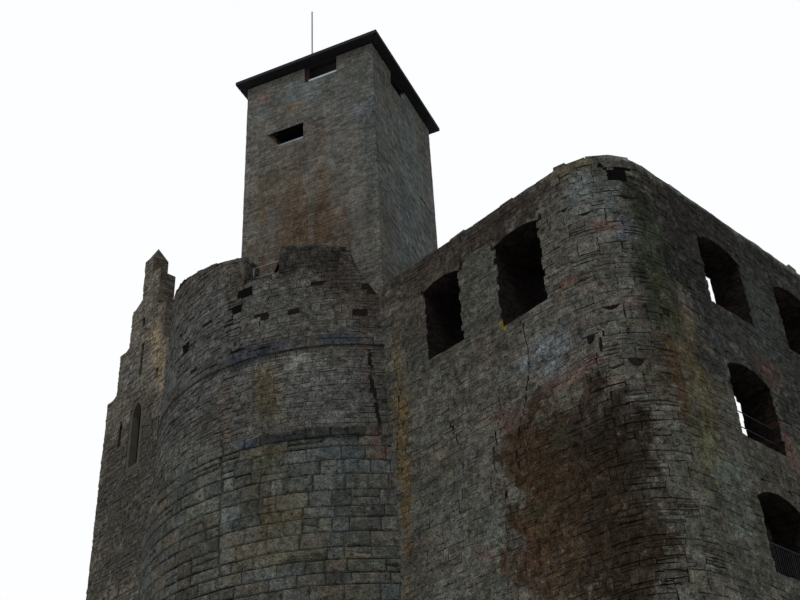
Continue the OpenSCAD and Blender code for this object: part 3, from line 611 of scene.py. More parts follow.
back = Stonework(random.Random(15))
back_ends = [-turn for turn in reversed(parapet_ends)] + [at_angle(242)]
back.lay((parapet_foot, parapet_limit), (0.16, 0.26), list(zip(back_ends, back_ends[1:])), (0.35, 0.8))
back.cut(back_top).sway(rise=0.03, seed=7.0, slip=0.014).lower(back_top)
back.dress(joint=0.014, relief=0.03)
set_in_wall("mantle_parapet_back", back.sheet, parapet_back, slab_finish)


# Core of the mantle wall: the same rubble seen in the joints and holes and on the faces
# that no one dresses, set in lime mortar that has gone dark, with painted shadow in the holes.
def core_finish(name, tones, mortar, stains=()):
    """Random rubble in mortar, with stains as for weathered stone."""
    finish = Finish(name, 0.95)
    squashed = finish.add("Mapping", {"Vector": finish.frayed, "Scale": (2.2, 2.2, 5.5)})
    cells, edges = (finish.add("TexVoronoi", {"Vector": squashed.outputs[0], "Scale": 1.0,
                                              "Randomness": 0.8}, feature=feature)
                    for feature in ("F1", "DISTANCE_TO_EDGE"))
    pick = finish.add("SeparateColor", {0: cells.outputs["Color"]}).outputs[0]
    joint = finish.between(edges.outputs[0], 0.02, 0.09)
    colour = finish.layer(mortar, finish.ramp(pick, tones), joint)
    for middle, reach, stain, strength, *core in stains:
        colour = finish.layer(colour, stain, finish.spot(middle, reach, strength, *core))
    fine = finish.between(finish.cloud(9.0, 6.0), 0.25, 0.75, 0.75, 1.22)
    colour = finish.layer(colour, fine, 1.0, "MULTIPLY")
    colour = finish.layer(colour, (64, 62, 48), finish.upward(0.6, 0.9, 0.5))
    return finish.done(colour, joint, 0.7, 0.03)


def finish_nodes(finish, *starts):
    """Gives a finish to the solid walls and parts whose names begin so."""
    for name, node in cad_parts.items():
        if name.startswith(starts):
            node.data.materials.clear()
            node.data.materials.append(finish)


# Painted shadow in the holes where stones have fallen: the core is painted black round the larger holes
# and very dark round the small ones.
hole_shadows = [(tuple(mantle_face(0.0)(at_angle(turn), level, 0.0)), (reach * 2.4,) * 3,
                 (7, 6, 6) if reach > 0.2 else (22, 19, 17), 1.0, 0.85)
                for turn, level, reach in fallen_spots]
mantle_core = core_finish("mantle_core", [(50, 48, 44), (60, 58, 54), (44, 42, 38)], (34, 31, 28),
                          hole_shadows)
finish_nodes(mantle_core, "mantle_")

# Terrace between the mantle wall and the keep: worn stone slabs, and a galvanised
# steel rail that closes the gap in the parapet. The keep's mast is of the same steel.
paving = Finish("floor_slabs", 0.85)
pattern = paving.add("TexBrick", {"Vector": paving.frayed, "Scale": 1.0, "Color1": tone(92, 88, 80),
                                  "Color2": tone(74, 72, 66), "Mortar": tone(46, 46, 38),
                                  "Mortar Size": 0.02, "Brick Width": 0.9, "Row Height": 0.6})
worn = paving.between(paving.cloud(3.0, 5.0), 0.3, 0.7, 0.8, 1.15)
floor_finish = paving.done(paving.layer(pattern.outputs[0], worn, 1.0, "MULTIPLY"), 12.0, 0.5)
finish_nodes(floor_finish, "terrace_floor")


def mottled(name, surface, mottling, tones, grain):
    """A finish of a few tones. Surface is its roughness, gloss and metal, and mottling and
    grain are what cloud and done are given."""
    finish = Finish(name, *surface)
    return finish.done(finish.ramp(finish.cloud(*mottling), tones), *grain)


galvanised = mottled("galvanised_steel", (0.45, 0.5, 0.6), (14.0, 3.0), [(66, 74, 80), (96, 103, 108)],
                     (30.0, 0.1, 0.002))
finish_nodes(galvanised, "terrace_gap_rail", "keep_mast")

# Keep walls: small squared sandstone in thin even courses, turned at the corners by longer
# pale quoins. Rust-brown water stains run down below the openings.
keep_side = 6.23
half_keep = keep_side / 2
keep_foot, keep_top = 15.90, 30.43
keep_quarter = Matrix.Rotation(math.radians(22.6), 3, "Z")
corner_width = 0.25


def on_keep(x, y, z=0.0):
    """A place measured from the keep's axis, along its turned walls."""
    return mantle_axis + keep_quarter @ Vector((x, y, z))


def walk_round(corners):
    """Bends a drawing round the flat faces between corners, given in their order."""
    corners = [Vector((x, y, 0.0)) for x, y, *_ in corners]
    edges = list(zip(corners, corners[1:]))

    def place(along, level, proud):
        for first, second in edges:
            length = (second - first).length
            if along <= length + 1e-6 or (first, second) == edges[-1]:
                break
            along -= length
        way = (second - first).normalized()
        out = Vector((way.y, -way.x, 0.0))
        return first + way * along + out * proud + Vector((0, 0, level))
    return place


slot_and_lookout = [(-2.04, -0.27, 26.44, 27.20), (-1.47, -0.27, 26.30, 26.44),
                    (-0.21, 1.38, 29.53, 30.50)]
broken_lookout = [(-1.21, -0.08, 29.66, 30.50), (-1.18, 0.14, 30.05, 30.50), (-1.16, 0.32, 30.27, 30.50)]
open_joint = (1.345, half_keep, 24.95, 25.04)
left_lookout = (-0.8, 0.8, 29.53, 30.50)
walls = (slot_and_lookout, broken_lookout + [open_joint], slot_and_lookout, [left_lookout])
keep_openings = [((n + 0.5) * keep_side + left, (n + 0.5) * keep_side + right, sill, head)
                 for n, holes in enumerate(walls) for left, right, sill, head in holes]


def keep_spans(level):
    parts = [(n * keep_side + corner_width, (n + 1) * keep_side - corner_width) for n in range(4)]
    for left, right, sill, head in keep_openings:
        if sill < level < head:
            parts = cut_out(parts, left, right)
    return parts


keep_levels = (keep_foot, 24.95, 25.04, 26.30, 26.44, 27.20, 29.53, 29.66, 30.05, 30.27, keep_top)
keep_stones = Stonework(random.Random(21))
keep_stones.lay(keep_levels, (0.10, 0.20), keep_spans, (0.2, 0.52), tall=0.05)
keep_stones.part(share=0.06, tallest=0.5, longest=0.6).sway(rise=0.018, seed=5.0, slip=0.010)
keep_stones.dress(joint=0.008, relief=0.02,
                  loose=lambda along, level: 0.3 + 0.5 * ripple(along, level, 0.7, 0.7, 3.0))
keep_tones = [(74, 71, 66), (80, 78, 73), (70, 69, 66), (82, 81, 77), (76, 75, 73), (70, 65, 58),
              (85, 84, 79), (72, 72, 72)]
keep_blotches = [(66, 63, 58), (78, 77, 73), (72, 72, 70), (82, 79, 72)]
keep_streak = (76, 66, 54)
rust, blue_grey = (62, 46, 30), (80, 93, 96)


def keep_spot(place, reach, colour, strength, core=0.25):
    return (tuple(on_keep(*place)), reach, colour, strength, core)


keep_stains = [keep_spot(*spot) for spot in (
    ((-3.1, 0.6, 21.4), (2.6, 2.6, 4.6), (68, 56, 42), 0.8, 0.5),
    ((-3.1, 1.9, 22.6), (0.6, 0.6, 3.8), rust, 0.65),
    ((-3.1, 0.4, 22.2), (0.7, 0.7, 3.4), rust, 0.6),
    ((-3.1, -0.5, 21.4), (0.7, 0.7, 3.4), rust, 0.7),
    ((-3.1, 0.4, 19.6), (2.4, 2.4, 1.9), (62, 47, 31), 0.7),
    ((-3.1, -1.6, 20.6), (0.8, 0.9, 2.8), (64, 51, 37), 0.6),
    ((-3.1, 1.4, 24.4), (1.4, 1.4, 1.5), (70, 60, 46), 0.65),
    ((-3.1, 2.33, 29.45), (0.8, 0.9, 0.35), (86, 58, 58), 0.85),
    ((-3.1, -2.4, 28.7), (0.7, 0.8, 1.3), (68, 77, 67), 0.75),
    ((-3.1, -2.6, 26.6), (0.9, 0.9, 0.8), (76, 77, 88), 0.7),
    ((-3.1, 0.7, 28.3), (0.5, 0.55, 0.35), (88, 70, 50), 0.8),
    ((-3.1, -0.2, 26.3), (0.5, 0.6, 0.7), (84, 68, 62), 0.6),
    ((-3.1, 2.5, 28.7), (0.5, 0.6, 0.6), (68, 78, 80), 0.75),
    ((-3.1, -0.6, 29.0), (0.7, 0.6, 0.5), (80, 80, 62), 0.6),
    ((-1.7, -3.1, 27.4), (0.9, 0.5, 0.7), (62, 70, 70), 0.7),
    ((-0.9, -3.1, 27.2), (0.6, 0.5, 0.9), (74, 72, 80), 0.5),
    ((-1.7, -3.1, 25.2), (0.7, 0.5, 1.0), (72, 80, 74), 0.5),
    ((-3.1, 1.5, 26.3), (0.7, 0.7, 0.7), (64, 60, 52), 0.5),
    ((-3.1, -1.3, 27.8), (1.2, 1.2, 1.4), (72, 74, 76), 0.5),
    ((-3.1, -2.8, 23.5), (0.5, 0.5, 6.5), (50, 56, 55), 0.8),
    ((-3.1, -1.9, 24.6), (0.5, 0.5, 2.6), (78, 72, 60), 0.5),
    ((-3.1, 3.0, 23.0), (0.4, 0.4, 5.0), (74, 74, 72), 0.5),
    ((-2.9, -3.1, 26.0), (0.5, 0.5, 4.8), (54, 59, 60), 0.75),
    ((0.4, -3.1, 23.5), (3.4, 1.6, 8.2), blue_grey, 0.9),
    ((-1.1, -3.1, 28.6), (0.9, 0.5, 1.3), (74, 68, 52), 0.6),
    ((-1.9, -3.1, 24.5), (0.35, 0.4, 3.4), (76, 80, 76), 0.5),
    ((-0.5, -3.1, 29.9), (1.0, 0.5, 0.45), (46, 44, 42), 0.6),
    ((-3.1, 2.0, 27.6), (1.0, 1.0, 0.9), (80, 78, 70), 0.6),
    ((-3.1, 0.2, 29.3), (1.2, 3.0, 1.2), (70, 84, 86), 0.6),
    ((-2.7, -3.1, 20.5), (0.6, 0.5, 2.6), (76, 69, 56), 0.5),
)]
keep_corners = [on_keep(x * half_keep, y * half_keep)
                for x, y in ((-1, 1), (-1, -1), (1, -1), (1, 1), (-1, 1))]
keep_finish = stone_finish("keep_rubble", keep_tones, keep_blotches, keep_stains, keep_streak, pits=0.5,
                           contrast=0.6, drips=True)
set_in_wall("keep_rubble", keep_stones.sheet, walk_round(keep_corners), keep_finish)


def add_bar(sheet, size, middle, lean=0.0, turn=0.0):
    """A squared bar, leant about x, moved to its middle and then turned about z."""
    bar = bmesh.ops.create_cube(sheet, size=1.0)["verts"]
    bmesh.ops.scale(sheet, vec=size, verts=bar)
    bmesh.ops.rotate(sheet, verts=bar, matrix=Matrix.Rotation(lean, 3, "X"))
    bmesh.ops.translate(sheet, verts=bar, vec=middle)
    bmesh.ops.rotate(sheet, verts=bar, matrix=Matrix.Rotation(turn, 3, "Z"))


quoin_heights, long_quoins, short_quoins = (0.22, 0.36), (0.46, 0.72), (0.26, 0.36)
quoin_joint, quoin_edge = 0.008, 0.012
quoins = bmesh.new()
dice = random.Random(22)
for corner, (x, y) in enumerate(((-1, -1), (1, -1), (1, 1), (-1, 1))):
    levels = course_beds(keep_foot, keep_top, quoin_heights, dice)
    for n, (low, high) in enumerate(zip(levels, levels[1:])):
        long, short = dice.uniform(*long_quoins), dice.uniform(*short_quoins)
        length, depth = (long, short) if (n + corner) % 2 else (short, long)
        proud = dice.uniform(0.012, 0.02)
        middle = (x * (half_keep + proud - length / 2), y * (half_keep + proud - depth / 2),
                  (low + high) / 2)
        add_bar(quoins, (length, depth, high - low - quoin_joint), middle)
bmesh.ops.bevel(quoins, geom=list(quoins.edges), offset=quoin_edge, offset_type="OFFSET", segments=1,
                profile=0.5, affect="EDGES", material=-1)
tint = quoins.faces.layers.float.new("tint")
for face in quoins.faces:
    middle = face.calc_center_median()
    face[tint] = 0.5 + 0.5 * ripple(middle.x, middle.y, 0.3, 0.3, middle.z * 1.7)
quoin_finish = stone_finish("keep_quoins", [(74, 75, 71), (80, 81, 76), (76, 74, 68)], keep_blotches,
                            keep_stains, keep_streak, pits=0.5)
set_in_wall("keep_quoins", quoins, on_keep, quoin_finish)

# Painted shade inside the keep: the core is painted near black in the slot, in the shaft behind the
# openings and at the broken lookout. The last spot is the paler colour of the slot's sill.
inside_shade_and_sill = [keep_spot(*spot) for spot in (
    ((-2.1, 0.5, 26.95), (2.2, 1.7, 1.3), (7, 7, 8), 1.0, 0.8),
    ((0.0, 0.0, 28.0), (2.1, 2.1, 3.6), (14, 13, 13), 1.0, 0.85),
    ((-0.5, -2.5, 30.1), (1.1, 0.7, 0.7), (16, 14, 14), 1.0),
    ((-2.8, 2.15, 26.8), (0.8, 0.55, 0.8), (84, 77, 66), 0.95, 0.8),
)]
keep_core = core_finish("keep_core", [(62, 58, 52), (72, 68, 62), (54, 50, 46)], (44, 40, 35), inside_shade_and_sill)
finish_nodes(keep_core, "keep_shaft", "keep_top")

# Pale sill stones of the keep's openings, and the red-brown beams and posts round them,
# with plain boards for the floors behind them.
pale = Finish("pale_sandstone", 0.8)
pale_colour = pale.ramp(pale.cloud(5.0, 6.0), [(118, 122, 128), (164, 168, 172)])
sill_shadow = pale.spot(tuple(on_keep(-2.9, 0.87, 26.4)), (1.2, 1.2, 0.6), 0.8)
pale_stone = pale.done(pale.layer(pale_colour, (80, 86, 98), sill_shadow), 20.0, 0.3)
finish_nodes(pale_stone, "keep_sills")


def wood_finish(name, tones, grain_way):
    return mottled(name, (0.85, 0.12), (26.0, 5.0, grain_way), tones, (40.0, 0.35, 0.004))


finish_nodes(wood_finish("red_beams", [(26, 12, 14), (44, 22, 23)], (1, 1, 0.12)), "keep_lookout_posts")
# The wall plate is the red timber of the posts at about half its brightness, as painted shade under the
# eaves.
finish_nodes(wood_finish("shaded_plate_beams", [(13, 9, 10), (24, 15, 16)], (1, 1, 0.12)), "keep_wall_plate")
finish_nodes(wood_finish("floor_boards", [(58, 46, 36), (84, 70, 56)], (0.1, 1, 1)), "keep_floors")

# Keep roof: a low pyramid of dark standing-seam sheet on close boards, with dark
# fascia boards round the eaves and a soffit of narrow boards below them.
dark_boards = wood_finish("dark_boards", [(13, 12, 15), (23, 21, 25)], (0.2, 0.2, 1))
finish_nodes(dark_boards, "keep_fascia", "keep_eaves_boards")
roof_sheet = mottled("roof_sheet", (0.5, 0.5), (1.5, 5.0), [(44, 46, 48), (62, 64, 66)], (3.0, 0.08))
finish_nodes(roof_sheet, "keep_roof")

eaves_level, soffit_level = keep_top + 0.15, keep_top + 0.12
eaves_reach, roof_inset = 0.425, 0.035
roof_half, roof_rise = half_keep + eaves_reach - roof_inset, 0.90
roof_climb = math.atan2(roof_rise, roof_half)
seam_pitch, seam_width, seam_height, shortest_seam = 0.48, 0.022, 0.04, 0.3
hip_radius = 0.05
hip_run = roof_half * math.sqrt(2)
hip_length = math.hypot(hip_run, roof_rise)
hip_lean = Matrix.Rotation(-math.atan2(hip_run, roof_rise), 3, "Y")
seams = bmesh.new()
count = int(2 * roof_half / seam_pitch)
for side in range(4):
    for n in range(count + 1):
        across = -count * seam_pitch / 2 + n * seam_pitch
        run = roof_half - abs(across)
        if run < shortest_seam:
            continue
        middle = (across, -roof_half + run / 2, roof_rise * run / 2 / roof_half + 0.016)
        add_bar(seams, (seam_width, run / math.cos(roof_climb), seam_height), middle, roof_climb,
                side * math.pi / 2)
for side in range(4):
    hip = bmesh.ops.create_cone(seams, cap_ends=True, segments=6, radius1=hip_radius,
                                radius2=hip_radius, depth=hip_length)["verts"]
    bmesh.ops.rotate(seams, verts=hip, matrix=hip_lean)
    bmesh.ops.translate(seams, verts=hip, vec=(hip_run / 2, 0, roof_rise / 2 + 0.01))
    bmesh.ops.rotate(seams, verts=hip, matrix=Matrix.Rotation(math.pi / 4 + side * math.pi / 2, 3, "Z"))
set_in_wall("keep_roof_seams", seams, lambda x, y, z: on_keep(x, y, z + eaves_level), roof_sheet)

soffit = bmesh.new()
board, board_gap, board_thick, soffit_start = 0.12, 0.012, 0.018, 0.02
for side in range(4):
    for n in range(3):
        out = half_keep + soffit_start + n * (board + board_gap) + board / 2
        middle = (0, -out, -board_thick / 2)
        add_bar(soffit, (2 * out, board, board_thick), middle, turn=side * math.pi / 2)
set_in_wall("keep_soffit_boards", soffit, lambda x, y, z: on_keep(x, y, z + soffit_level),
            dark_boards)

# House walls: coarser rubble of split sandstone, grey with red-brown and ochre stones,
# carried round the two rounded corners in one bond, and an arch over each window.
house_corner = Vector((-7.75, -14.11, 0.0))
house_length, house_depth, house_top = 19.35, 9.37, 15.41
round_corner = 1.9
left_start, back_end = -4.2, -1.6
first_bay, bay_pitch, bay_width, bay_rise = 4.25, 4.28, 2.29, 0.33
bay_floors = ((3.00, 5.15), (6.98, 9.25), (11.44, 13.84))
end_spring, end_rise = 14.08, 0.17
arch_depth = 0.30
breach_foot, breach_spread = 13.70, 0.51

x0, y0 = house_corner.x, house_corner.y
x1, y1 = x0 + house_length, y0 + house_depth
quarter_bend = round_corner * math.pi / 2
stretches = [
    (left_start - (y0 + round_corner), Vector((x0, left_start, 0)), Vector((0, -1, 0))),
    (quarter_bend, Vector((x0 + round_corner, y0 + round_corner, 0)), math.pi),
    (house_length - 2 * round_corner, Vector((x0 + round_corner, y0, 0)), Vector((1, 0, 0))),
    (quarter_bend, Vector((x1 - round_corner, y0 + round_corner, 0)), 1.5 * math.pi),
    (house_depth - round_corner, Vector((x1, y0 + round_corner, 0)), Vector((0, 1, 0))),
    (x1 - back_end, Vector((x1, y1, 0)), Vector((-1, 0, 0))),
]
marks = [0.0]
for length, origin, way in stretches:
    marks.append(marks[-1] + length)


def stretch_at(along):
    """Number of the straight or bent stretch of the outline at a place along it."""
    return max(n for n in range(len(stretches)) if n == 0 or along >= marks[n] - 1e-6)


def house_face(along, level, proud):
    """Bends a drawing on to the outer face of the house, from the mantle wall round to it."""
    n = stretch_at(along)
    length, origin, way = stretches[n]
    here = along - marks[n]
    if isinstance(way, Vector):
        return origin + way * here + Vector((way.y, -way.x, 0)) * proud + Vector((0, 0, level))
    return turned(origin, round_corner + proud, way + here / round_corner, level)


class Window:
    """An arched opening, by its middle along the drawing of the wall."""

    def __init__(self, middle, width, sill, spring, rise):
        self.middle, self.width, self.sill, self.spring, self.rise = middle, width, sill, spring, rise
        self.radius = (width ** 2 / 4 + rise ** 2) / (2 * rise)
        self.centre = spring + rise - self.radius

    def half(self, level, depth=0.0):
        """Half its width at a level, with depth for the stones of its arch."""
        if level < self.sill:
            return 0.0
        if level < self.spring:
            return self.width / 2
        over = (self.radius + depth) ** 2 - (level - self.centre) ** 2
        return min(math.sqrt(over), self.width / 2 + depth * 0.55) if over > 0 else 0.0

    def fallen(self, level):
        """How far the breach over a fallen head goes past the near and the far side."""
        if self.spring < house_top or level < breach_foot:
            return 0.0, 0.0
        climb = (level - breach_foot) / (house_top - breach_foot)
        return 0.2 * breach_spread * max(0.0, 2 * climb - 1), breach_spread * climb


house_windows = []
for y, width, sill, spring in ((3.67, 1.80, 11.14, end_spring), (6.95, 1.58, 11.44, house_top)):
    house_windows.append(Window(marks[1] + round_corner - y, width, sill, end_spring, end_rise))
    house_windows.append(Window(marks[4] + y - round_corner, width, sill, spring, end_rise))
for n in range(3):
    x = first_bay + bay_width / 2 + bay_pitch * n
    for sill, spring in bay_floors:
        house_windows.append(Window(marks[2] + x - round_corner, bay_width, sill, spring, bay_rise))
        if n:
            house_windows.append(Window(marks[5] + house_length - x, bay_width, sill, spring, bay_rise))

house_cracks = (
    (((marks[1] + 0.8, 9.4), (marks[1] + 0.5, 8.6), (marks[1] + 0.2, 7.9)), 0.05),
    (((6.0, 11.0), (6.25, 9.8), (5.95, 8.6), (5.5, 7.4), (5.2, 6.0)), 0.04),
    (((marks[1] + 0.9, 6.6), (marks[1] + 0.3, 6.2), (marks[1] - 0.4, 6.0)), 0.06),
    (((2.9, 9.0), (3.3, 7.6), (3.0, 6.0)), 0.03),
    (((0.5, 12.6), (0.8, 11.0), (0.6, 9.0)), 0.03),
    (((4.9, 8.2), (4.4, 7.0), (4.9, 5.4), (4.4, 4.4)), 0.03),
)
toothing = random.Random(35)
cavity, cavity_reach, cavity_low, cavity_high, cavity_slope = marks[1] + 2.05, 0.42, 14.66, 14.98, 0.35


def house_spans(level):
    """Parts of a row between the windows, whose sides are toothed by the stones' ends."""
    parts = beside_cracks(house_cracks, (0.0, marks[5], marks[6]), level)
    for hole in house_windows:
        half = hole.half(level, arch_depth)
        if half:
            left, right = (half + past + toothing.uniform(-0.05, 0.04) for past in hole.fallen(level))
            parts = cut_out(parts, hole.middle - left, hole.middle + right)
    return parts


def bare_corner(along, level):
    """1 where the low corner is washed out between its slabs, 0 where old render is left."""
    near = math.exp(-((along - marks[1] - 1.4) / 1.8) ** 2)
    return near * (1.0 if level < 7.5 else 0.5)


def in_cavity(middle):
    """Whether a stone was in the hollow under the wall head at the front corner."""
    return (abs(middle.x - cavity) < cavity_reach
            and cavity_low < middle.y + cavity_slope * (cavity - middle.x) < cavity_high)


def house_relief(along, level):
    bare = 0.4 if along > marks[2] + 0.6 else bare_corner(along, level)
    return 0.018 + 0.044 * bare + 0.012 * ripple(along, level, 0.9, 0.9, 12.0)


def house_gaps(along, level):
    wear = ripple(along, level, 0.6, 0.6, 22.0)
    return 0.06 + 0.55 * bare_corner(along, level) + (0.25 if level > 14.6 else 0.0) + 0.3 * wear


rubble = Stonework(random.Random(31))
rubble.lay((0.0, 3.0, 6.98, 11.14, 11.44, house_top), (0.13, 0.27), house_spans, (0.2, 0.7), tall=0.16)
rubble.part(share=lambda along, level: 0.12 + 0.5 * bare_corner(along, level),
            tallest=0.5, longest=0.5)
rubble.sway(rise=0.09, seed=9.0, slip=0.026).lower(house_top).drop(in_cavity)
rubble.dress(joint=0.010, relief=house_relief, loose=house_gaps)
house_tones = [(62, 58, 52), (68, 67, 61), (62, 63, 60), (74, 73, 67), (65, 64, 60), (64, 54, 50),
               (70, 67, 58), (58, 60, 58), (72, 64, 60)]
house_blotches = [(54, 52, 46), (63, 66, 61), (72, 69, 61), (62, 62, 60), (68, 70, 66)]
brown, ochre = (44, 31, 19), (72, 60, 37)
house_stains = [
    ((0.4, -14.11, 12.2), (7.9, 1.0, 5.3), (32, 34, 33), 0.95),
    ((1.0, -14.11, 4.2), (8.6, 0.9, 3.4), (44, 45, 39), 0.6),
    ((-5.0, -14.0, 12.9), (2.0, 1.2, 2.7), (15, 15, 14), 0.95, 0.6),
    ((-7.75, -9.6, 14.9), (1.0, 2.1, 0.9), (22, 19, 17), 0.85, 0.5),
    ((-7.75, -7.5, 12.4), (0.8, 3.2, 2.3), (48, 49, 45), 0.6),
    ((-7.75, -5.0, 9.3), (0.6, 0.36, 4.6), ochre, 0.85),
    ((-7.75, -11.1, 9.4), (0.6, 1.3, 0.8), (88, 94, 99), 0.9, 0.4),
    ((-7.75, -11.3, 5.0), (1.0, 2.6, 3.4), brown, 0.9, 0.8),
    ((-7.75, -9.9, 6.9), (1.0, 1.1, 1.3), brown, 0.95, 0.85),
    ((-7.75, -10.2, 3.8), (1.0, 1.5, 2.0), (52, 39, 27), 0.9, 0.8),
    ((-7.75, -10.4, 6.0), (1.0, 1.7, 2.0), (44, 33, 23), 0.8),
    ((-7.6, -12.4, 6.5), (1.0, 1.3, 1.4), (35, 29, 26), 0.9),
    ((-7.6, -12.9, 4.4), (0.9, 1.15, 3.3), (31, 26, 20), 0.9),
    ((-7.7, -11.9, 4.2), (1.0, 1.3, 2.2), (37, 30, 22), 0.9),
    ((-7.6, -12.4, 2.4), (1.0, 1.4, 1.6), (36, 29, 22), 0.9),
    ((-7.75, -9.5, 8.1), (0.6, 0.7, 0.4), (76, 58, 54), 0.7),
    ((-7.75, -12.0, 8.4), (0.9, 1.2, 0.3), (76, 60, 56), 0.75),
    ((-7.75, -10.9, 5.7), (0.6, 0.8, 0.35), (58, 41, 29), 0.55, 0.4),
    ((-7.75, -11.2, 6.7), (0.6, 0.5, 0.35), (52, 52, 38), 0.6),
    ((-7.75, -10.3, 4.9), (0.6, 1.0, 0.45), (47, 46, 34), 0.6, 0.4),
    ((-7.75, -9.6, 4.1), (0.6, 0.9, 0.8), (52, 36, 27), 0.9, 0.4),
    ((-7.75, -8.1, 4.4), (0.6, 0.4, 0.25), (84, 66, 64), 0.7),
    ((-7.75, -8.4, 5.0), (0.6, 0.5, 0.7), (82, 86, 78), 0.6),
    ((-7.75, -8.7, 10.6), (0.6, 0.5, 1.4), (74, 66, 60), 0.5),
    ((-7.75, -10.4, 11.0), (0.6, 0.6, 0.2), (46, 44, 40), 0.6),
    ((-7.75, -12.1, 11.3), (0.5, 0.5, 0.16), (66, 44, 38), 0.75),
    ((-7.75, -9.62, 11.2), (0.5, 0.22, 0.28), (96, 86, 36), 0.85),
    ((-7.6, -12.9, 15.2), (0.8, 0.8, 0.35), (76, 69, 46), 0.65),
    ((-7.3, -13.4, 12.75), (0.5, 0.4, 0.2), (70, 50, 46), 0.7),
    ((-7.1, -13.6, 10.2), (0.5, 0.5, 0.5), (72, 60, 58), 0.6),
    ((-6.8, -13.8, 12.6), (0.5, 0.5, 0.5), (60, 66, 72), 0.6),
    ((-7.75, -8.0, 15.0), (0.8, 4.6, 0.9), (40, 34, 30), 0.85),
    ((-7.75, -7.6, 5.4), (0.6, 1.7, 2.8), (78, 80, 76), 0.5, 0.4),
    ((-7.75, -6.4, 13.6), (0.6, 1.6, 1.4), (60, 52, 46), 0.5),
    ((-6.2, -14.05, 11.8), (0.7, 0.6, 2.9), (36, 40, 31), 0.85),
    ((-5.9, -14.11, 10.1), (0.5, 0.6, 1.6), (40, 42, 28), 0.85),
    ((-5.4, -14.11, 7.6), (1.2, 0.7, 3.0), (48, 45, 34), 0.85, 0.4),
    ((-5.25, -14.11, 8.2), (0.75, 0.6, 2.1), (68, 56, 33), 0.9, 0.3),
    ((-6.2, -14.1, 7.7), (0.3, 0.6, 1.3), (62, 46, 30), 0.8),
    ((-5.5, -14.11, 5.9), (0.9, 0.6, 1.7), (76, 76, 54), 0.8, 0.4),
    ((-6.7, -13.9, 8.2), (0.6, 0.5, 1.3), (50, 43, 34), 0.7),
    ((-7.4, -13.3, 14.1), (1.1, 1.1, 1.1), (78, 86, 86), 0.7, 0.4),
    ((-3.0, -14.11, 14.0), (3.4, 0.8, 1.4), (34, 31, 29), 0.75),
    ((2.6, -14.11, 14.9), (12.0, 0.8, 0.3), (34, 33, 30), 0.8),
    ((2.6, -14.11, 15.4), (14.0, 0.8, 0.12), (78, 83, 80), 0.9),
    # Painted shadow round the hollow under the wall head at the front corner.
    ((-7.05, -13.5, 14.95), (0.8, 0.7, 0.4), (38, 36, 34), 0.6, 0.6),
    ((-4.6, -14.11, 4.6), (0.8, 0.6, 1.6), (74, 80, 74), 0.6),
    ((-0.9, -14.11, 9.9), (0.8, 0.6, 0.7), (70, 52, 46), 0.6),
    ((-0.8, -14.11, 12.0), (1.5, 0.6, 2.4), (48, 52, 51), 0.6, 0.4),
    ((-1.0, -14.11, 7.2), (0.35, 0.6, 1.2), (78, 56, 52), 0.6),
    ((2.0, -14.11, 5.5), (2.6, 0.6, 3.0), (62, 50, 42), 0.4),
    ((6.0, -14.11, 9.0), (1.4, 0.6, 4.0), (58, 62, 46), 0.5),
    ((11.6, -9.0, 6.0), (0.9, 2.6, 3.0), brown, 0.6),
    ((3.5, -4.74, 8.0), (2.4, 0.9, 2.6), (62, 52, 42), 0.5),
]
house_finish = stone_finish("house_rubble", house_tones, house_blotches, house_stains, (58, 56, 48))
set_in_wall("house_rubble", rubble.sheet, house_face, house_finish)

arch_stone, arch_lap, arch_over, arch_under = 0.155, 1.04, 0.02, 0.012
arches = Stonework(random.Random(32))
for hole in house_windows:
    if hole.spring == house_top:
        continue
    reach = math.asin(hole.width / 2 / hole.radius) * arch_lap
    count = round(2 * reach * hole.radius / arch_stone)
    ring = bmesh.ops.create_grid(arches.sheet, x_segments=count, y_segments=1, size=0.5)["verts"]
    for corner in ring:
        swing = corner.co.x * 2 * reach
        away = hole.radius + (arch_depth + arch_over if corner.co.y > 0 else -arch_under)
        corner.co = (hole.middle + away * math.sin(swing), hole.centre + away * math.cos(swing), 0.0)
arches.part(share=0.0, tallest=0.9, longest=0.2).sway(rise=0.0, seed=0.0, slip=0.012)
arches.dress(joint=0.010, relief=0.03, loose=0.15)
arch_tones = [(62, 54, 50), (68, 60, 54), (60, 58, 52), (72, 68, 60), (64, 48, 44)]
arch_finish = stone_finish("house_arch_stones", arch_tones, house_blotches, house_stains)
set_in_wall("house_window_arches", arches.sheet, house_face, arch_finish)

# Tops of the house walls: flat stones bedded in mortar along the broken wall head,
# grown over with moss and grey lichen.
wall_widths = [2.4, 1.5, 1.05, 1.5, 2.4, 1.05]
row_width = 0.35
broken = [hole for hole in house_windows if hole.spring == house_top][0]
breach = (broken.middle - broken.width / 2 - 0.1, broken.middle + broken.width / 2 + breach_spread)


def house_head(along, across, proud):
    """Bends a drawing on to the wall head; its y runs across it from the outer face."""
    return house_face(along, house_top + proud, -across * wall_widths[stretch_at(along)])


head = Stonework(random.Random(33))
for n, width in enumerate(wall_widths):
    rows = round(width / row_width)
    last = marks[n + 1] - (wall_widths[-1] if n == 4 else 0) - 1e-4
    whole = cut_out([(marks[n], last)], *breach)
    head.lay([row / rows for row in range(rows + 1)], None, whole, (0.35, 0.75))
head.sway(rise=0.0, seed=0.0, slip=0.02)
head.dress(joint=0.018,
           relief=lambda along, across: 0.03 + 0.32 * abs(ripple(along, across, 1.4, 1, 2.0)))
head_tones = [(56, 54, 48), (72, 70, 64), (60, 58, 52), (80, 80, 76)]
head_finish = stone_finish("house_wall_head", head_tones, house_blotches,
                           [((2.6, -14.1, 15.5), (14.0, 0.5, 0.9), (84, 90, 86), 0.8)], top_growth=0.7)
set_in_wall("house_wall_head", head.sheet, house_head, head_finish)

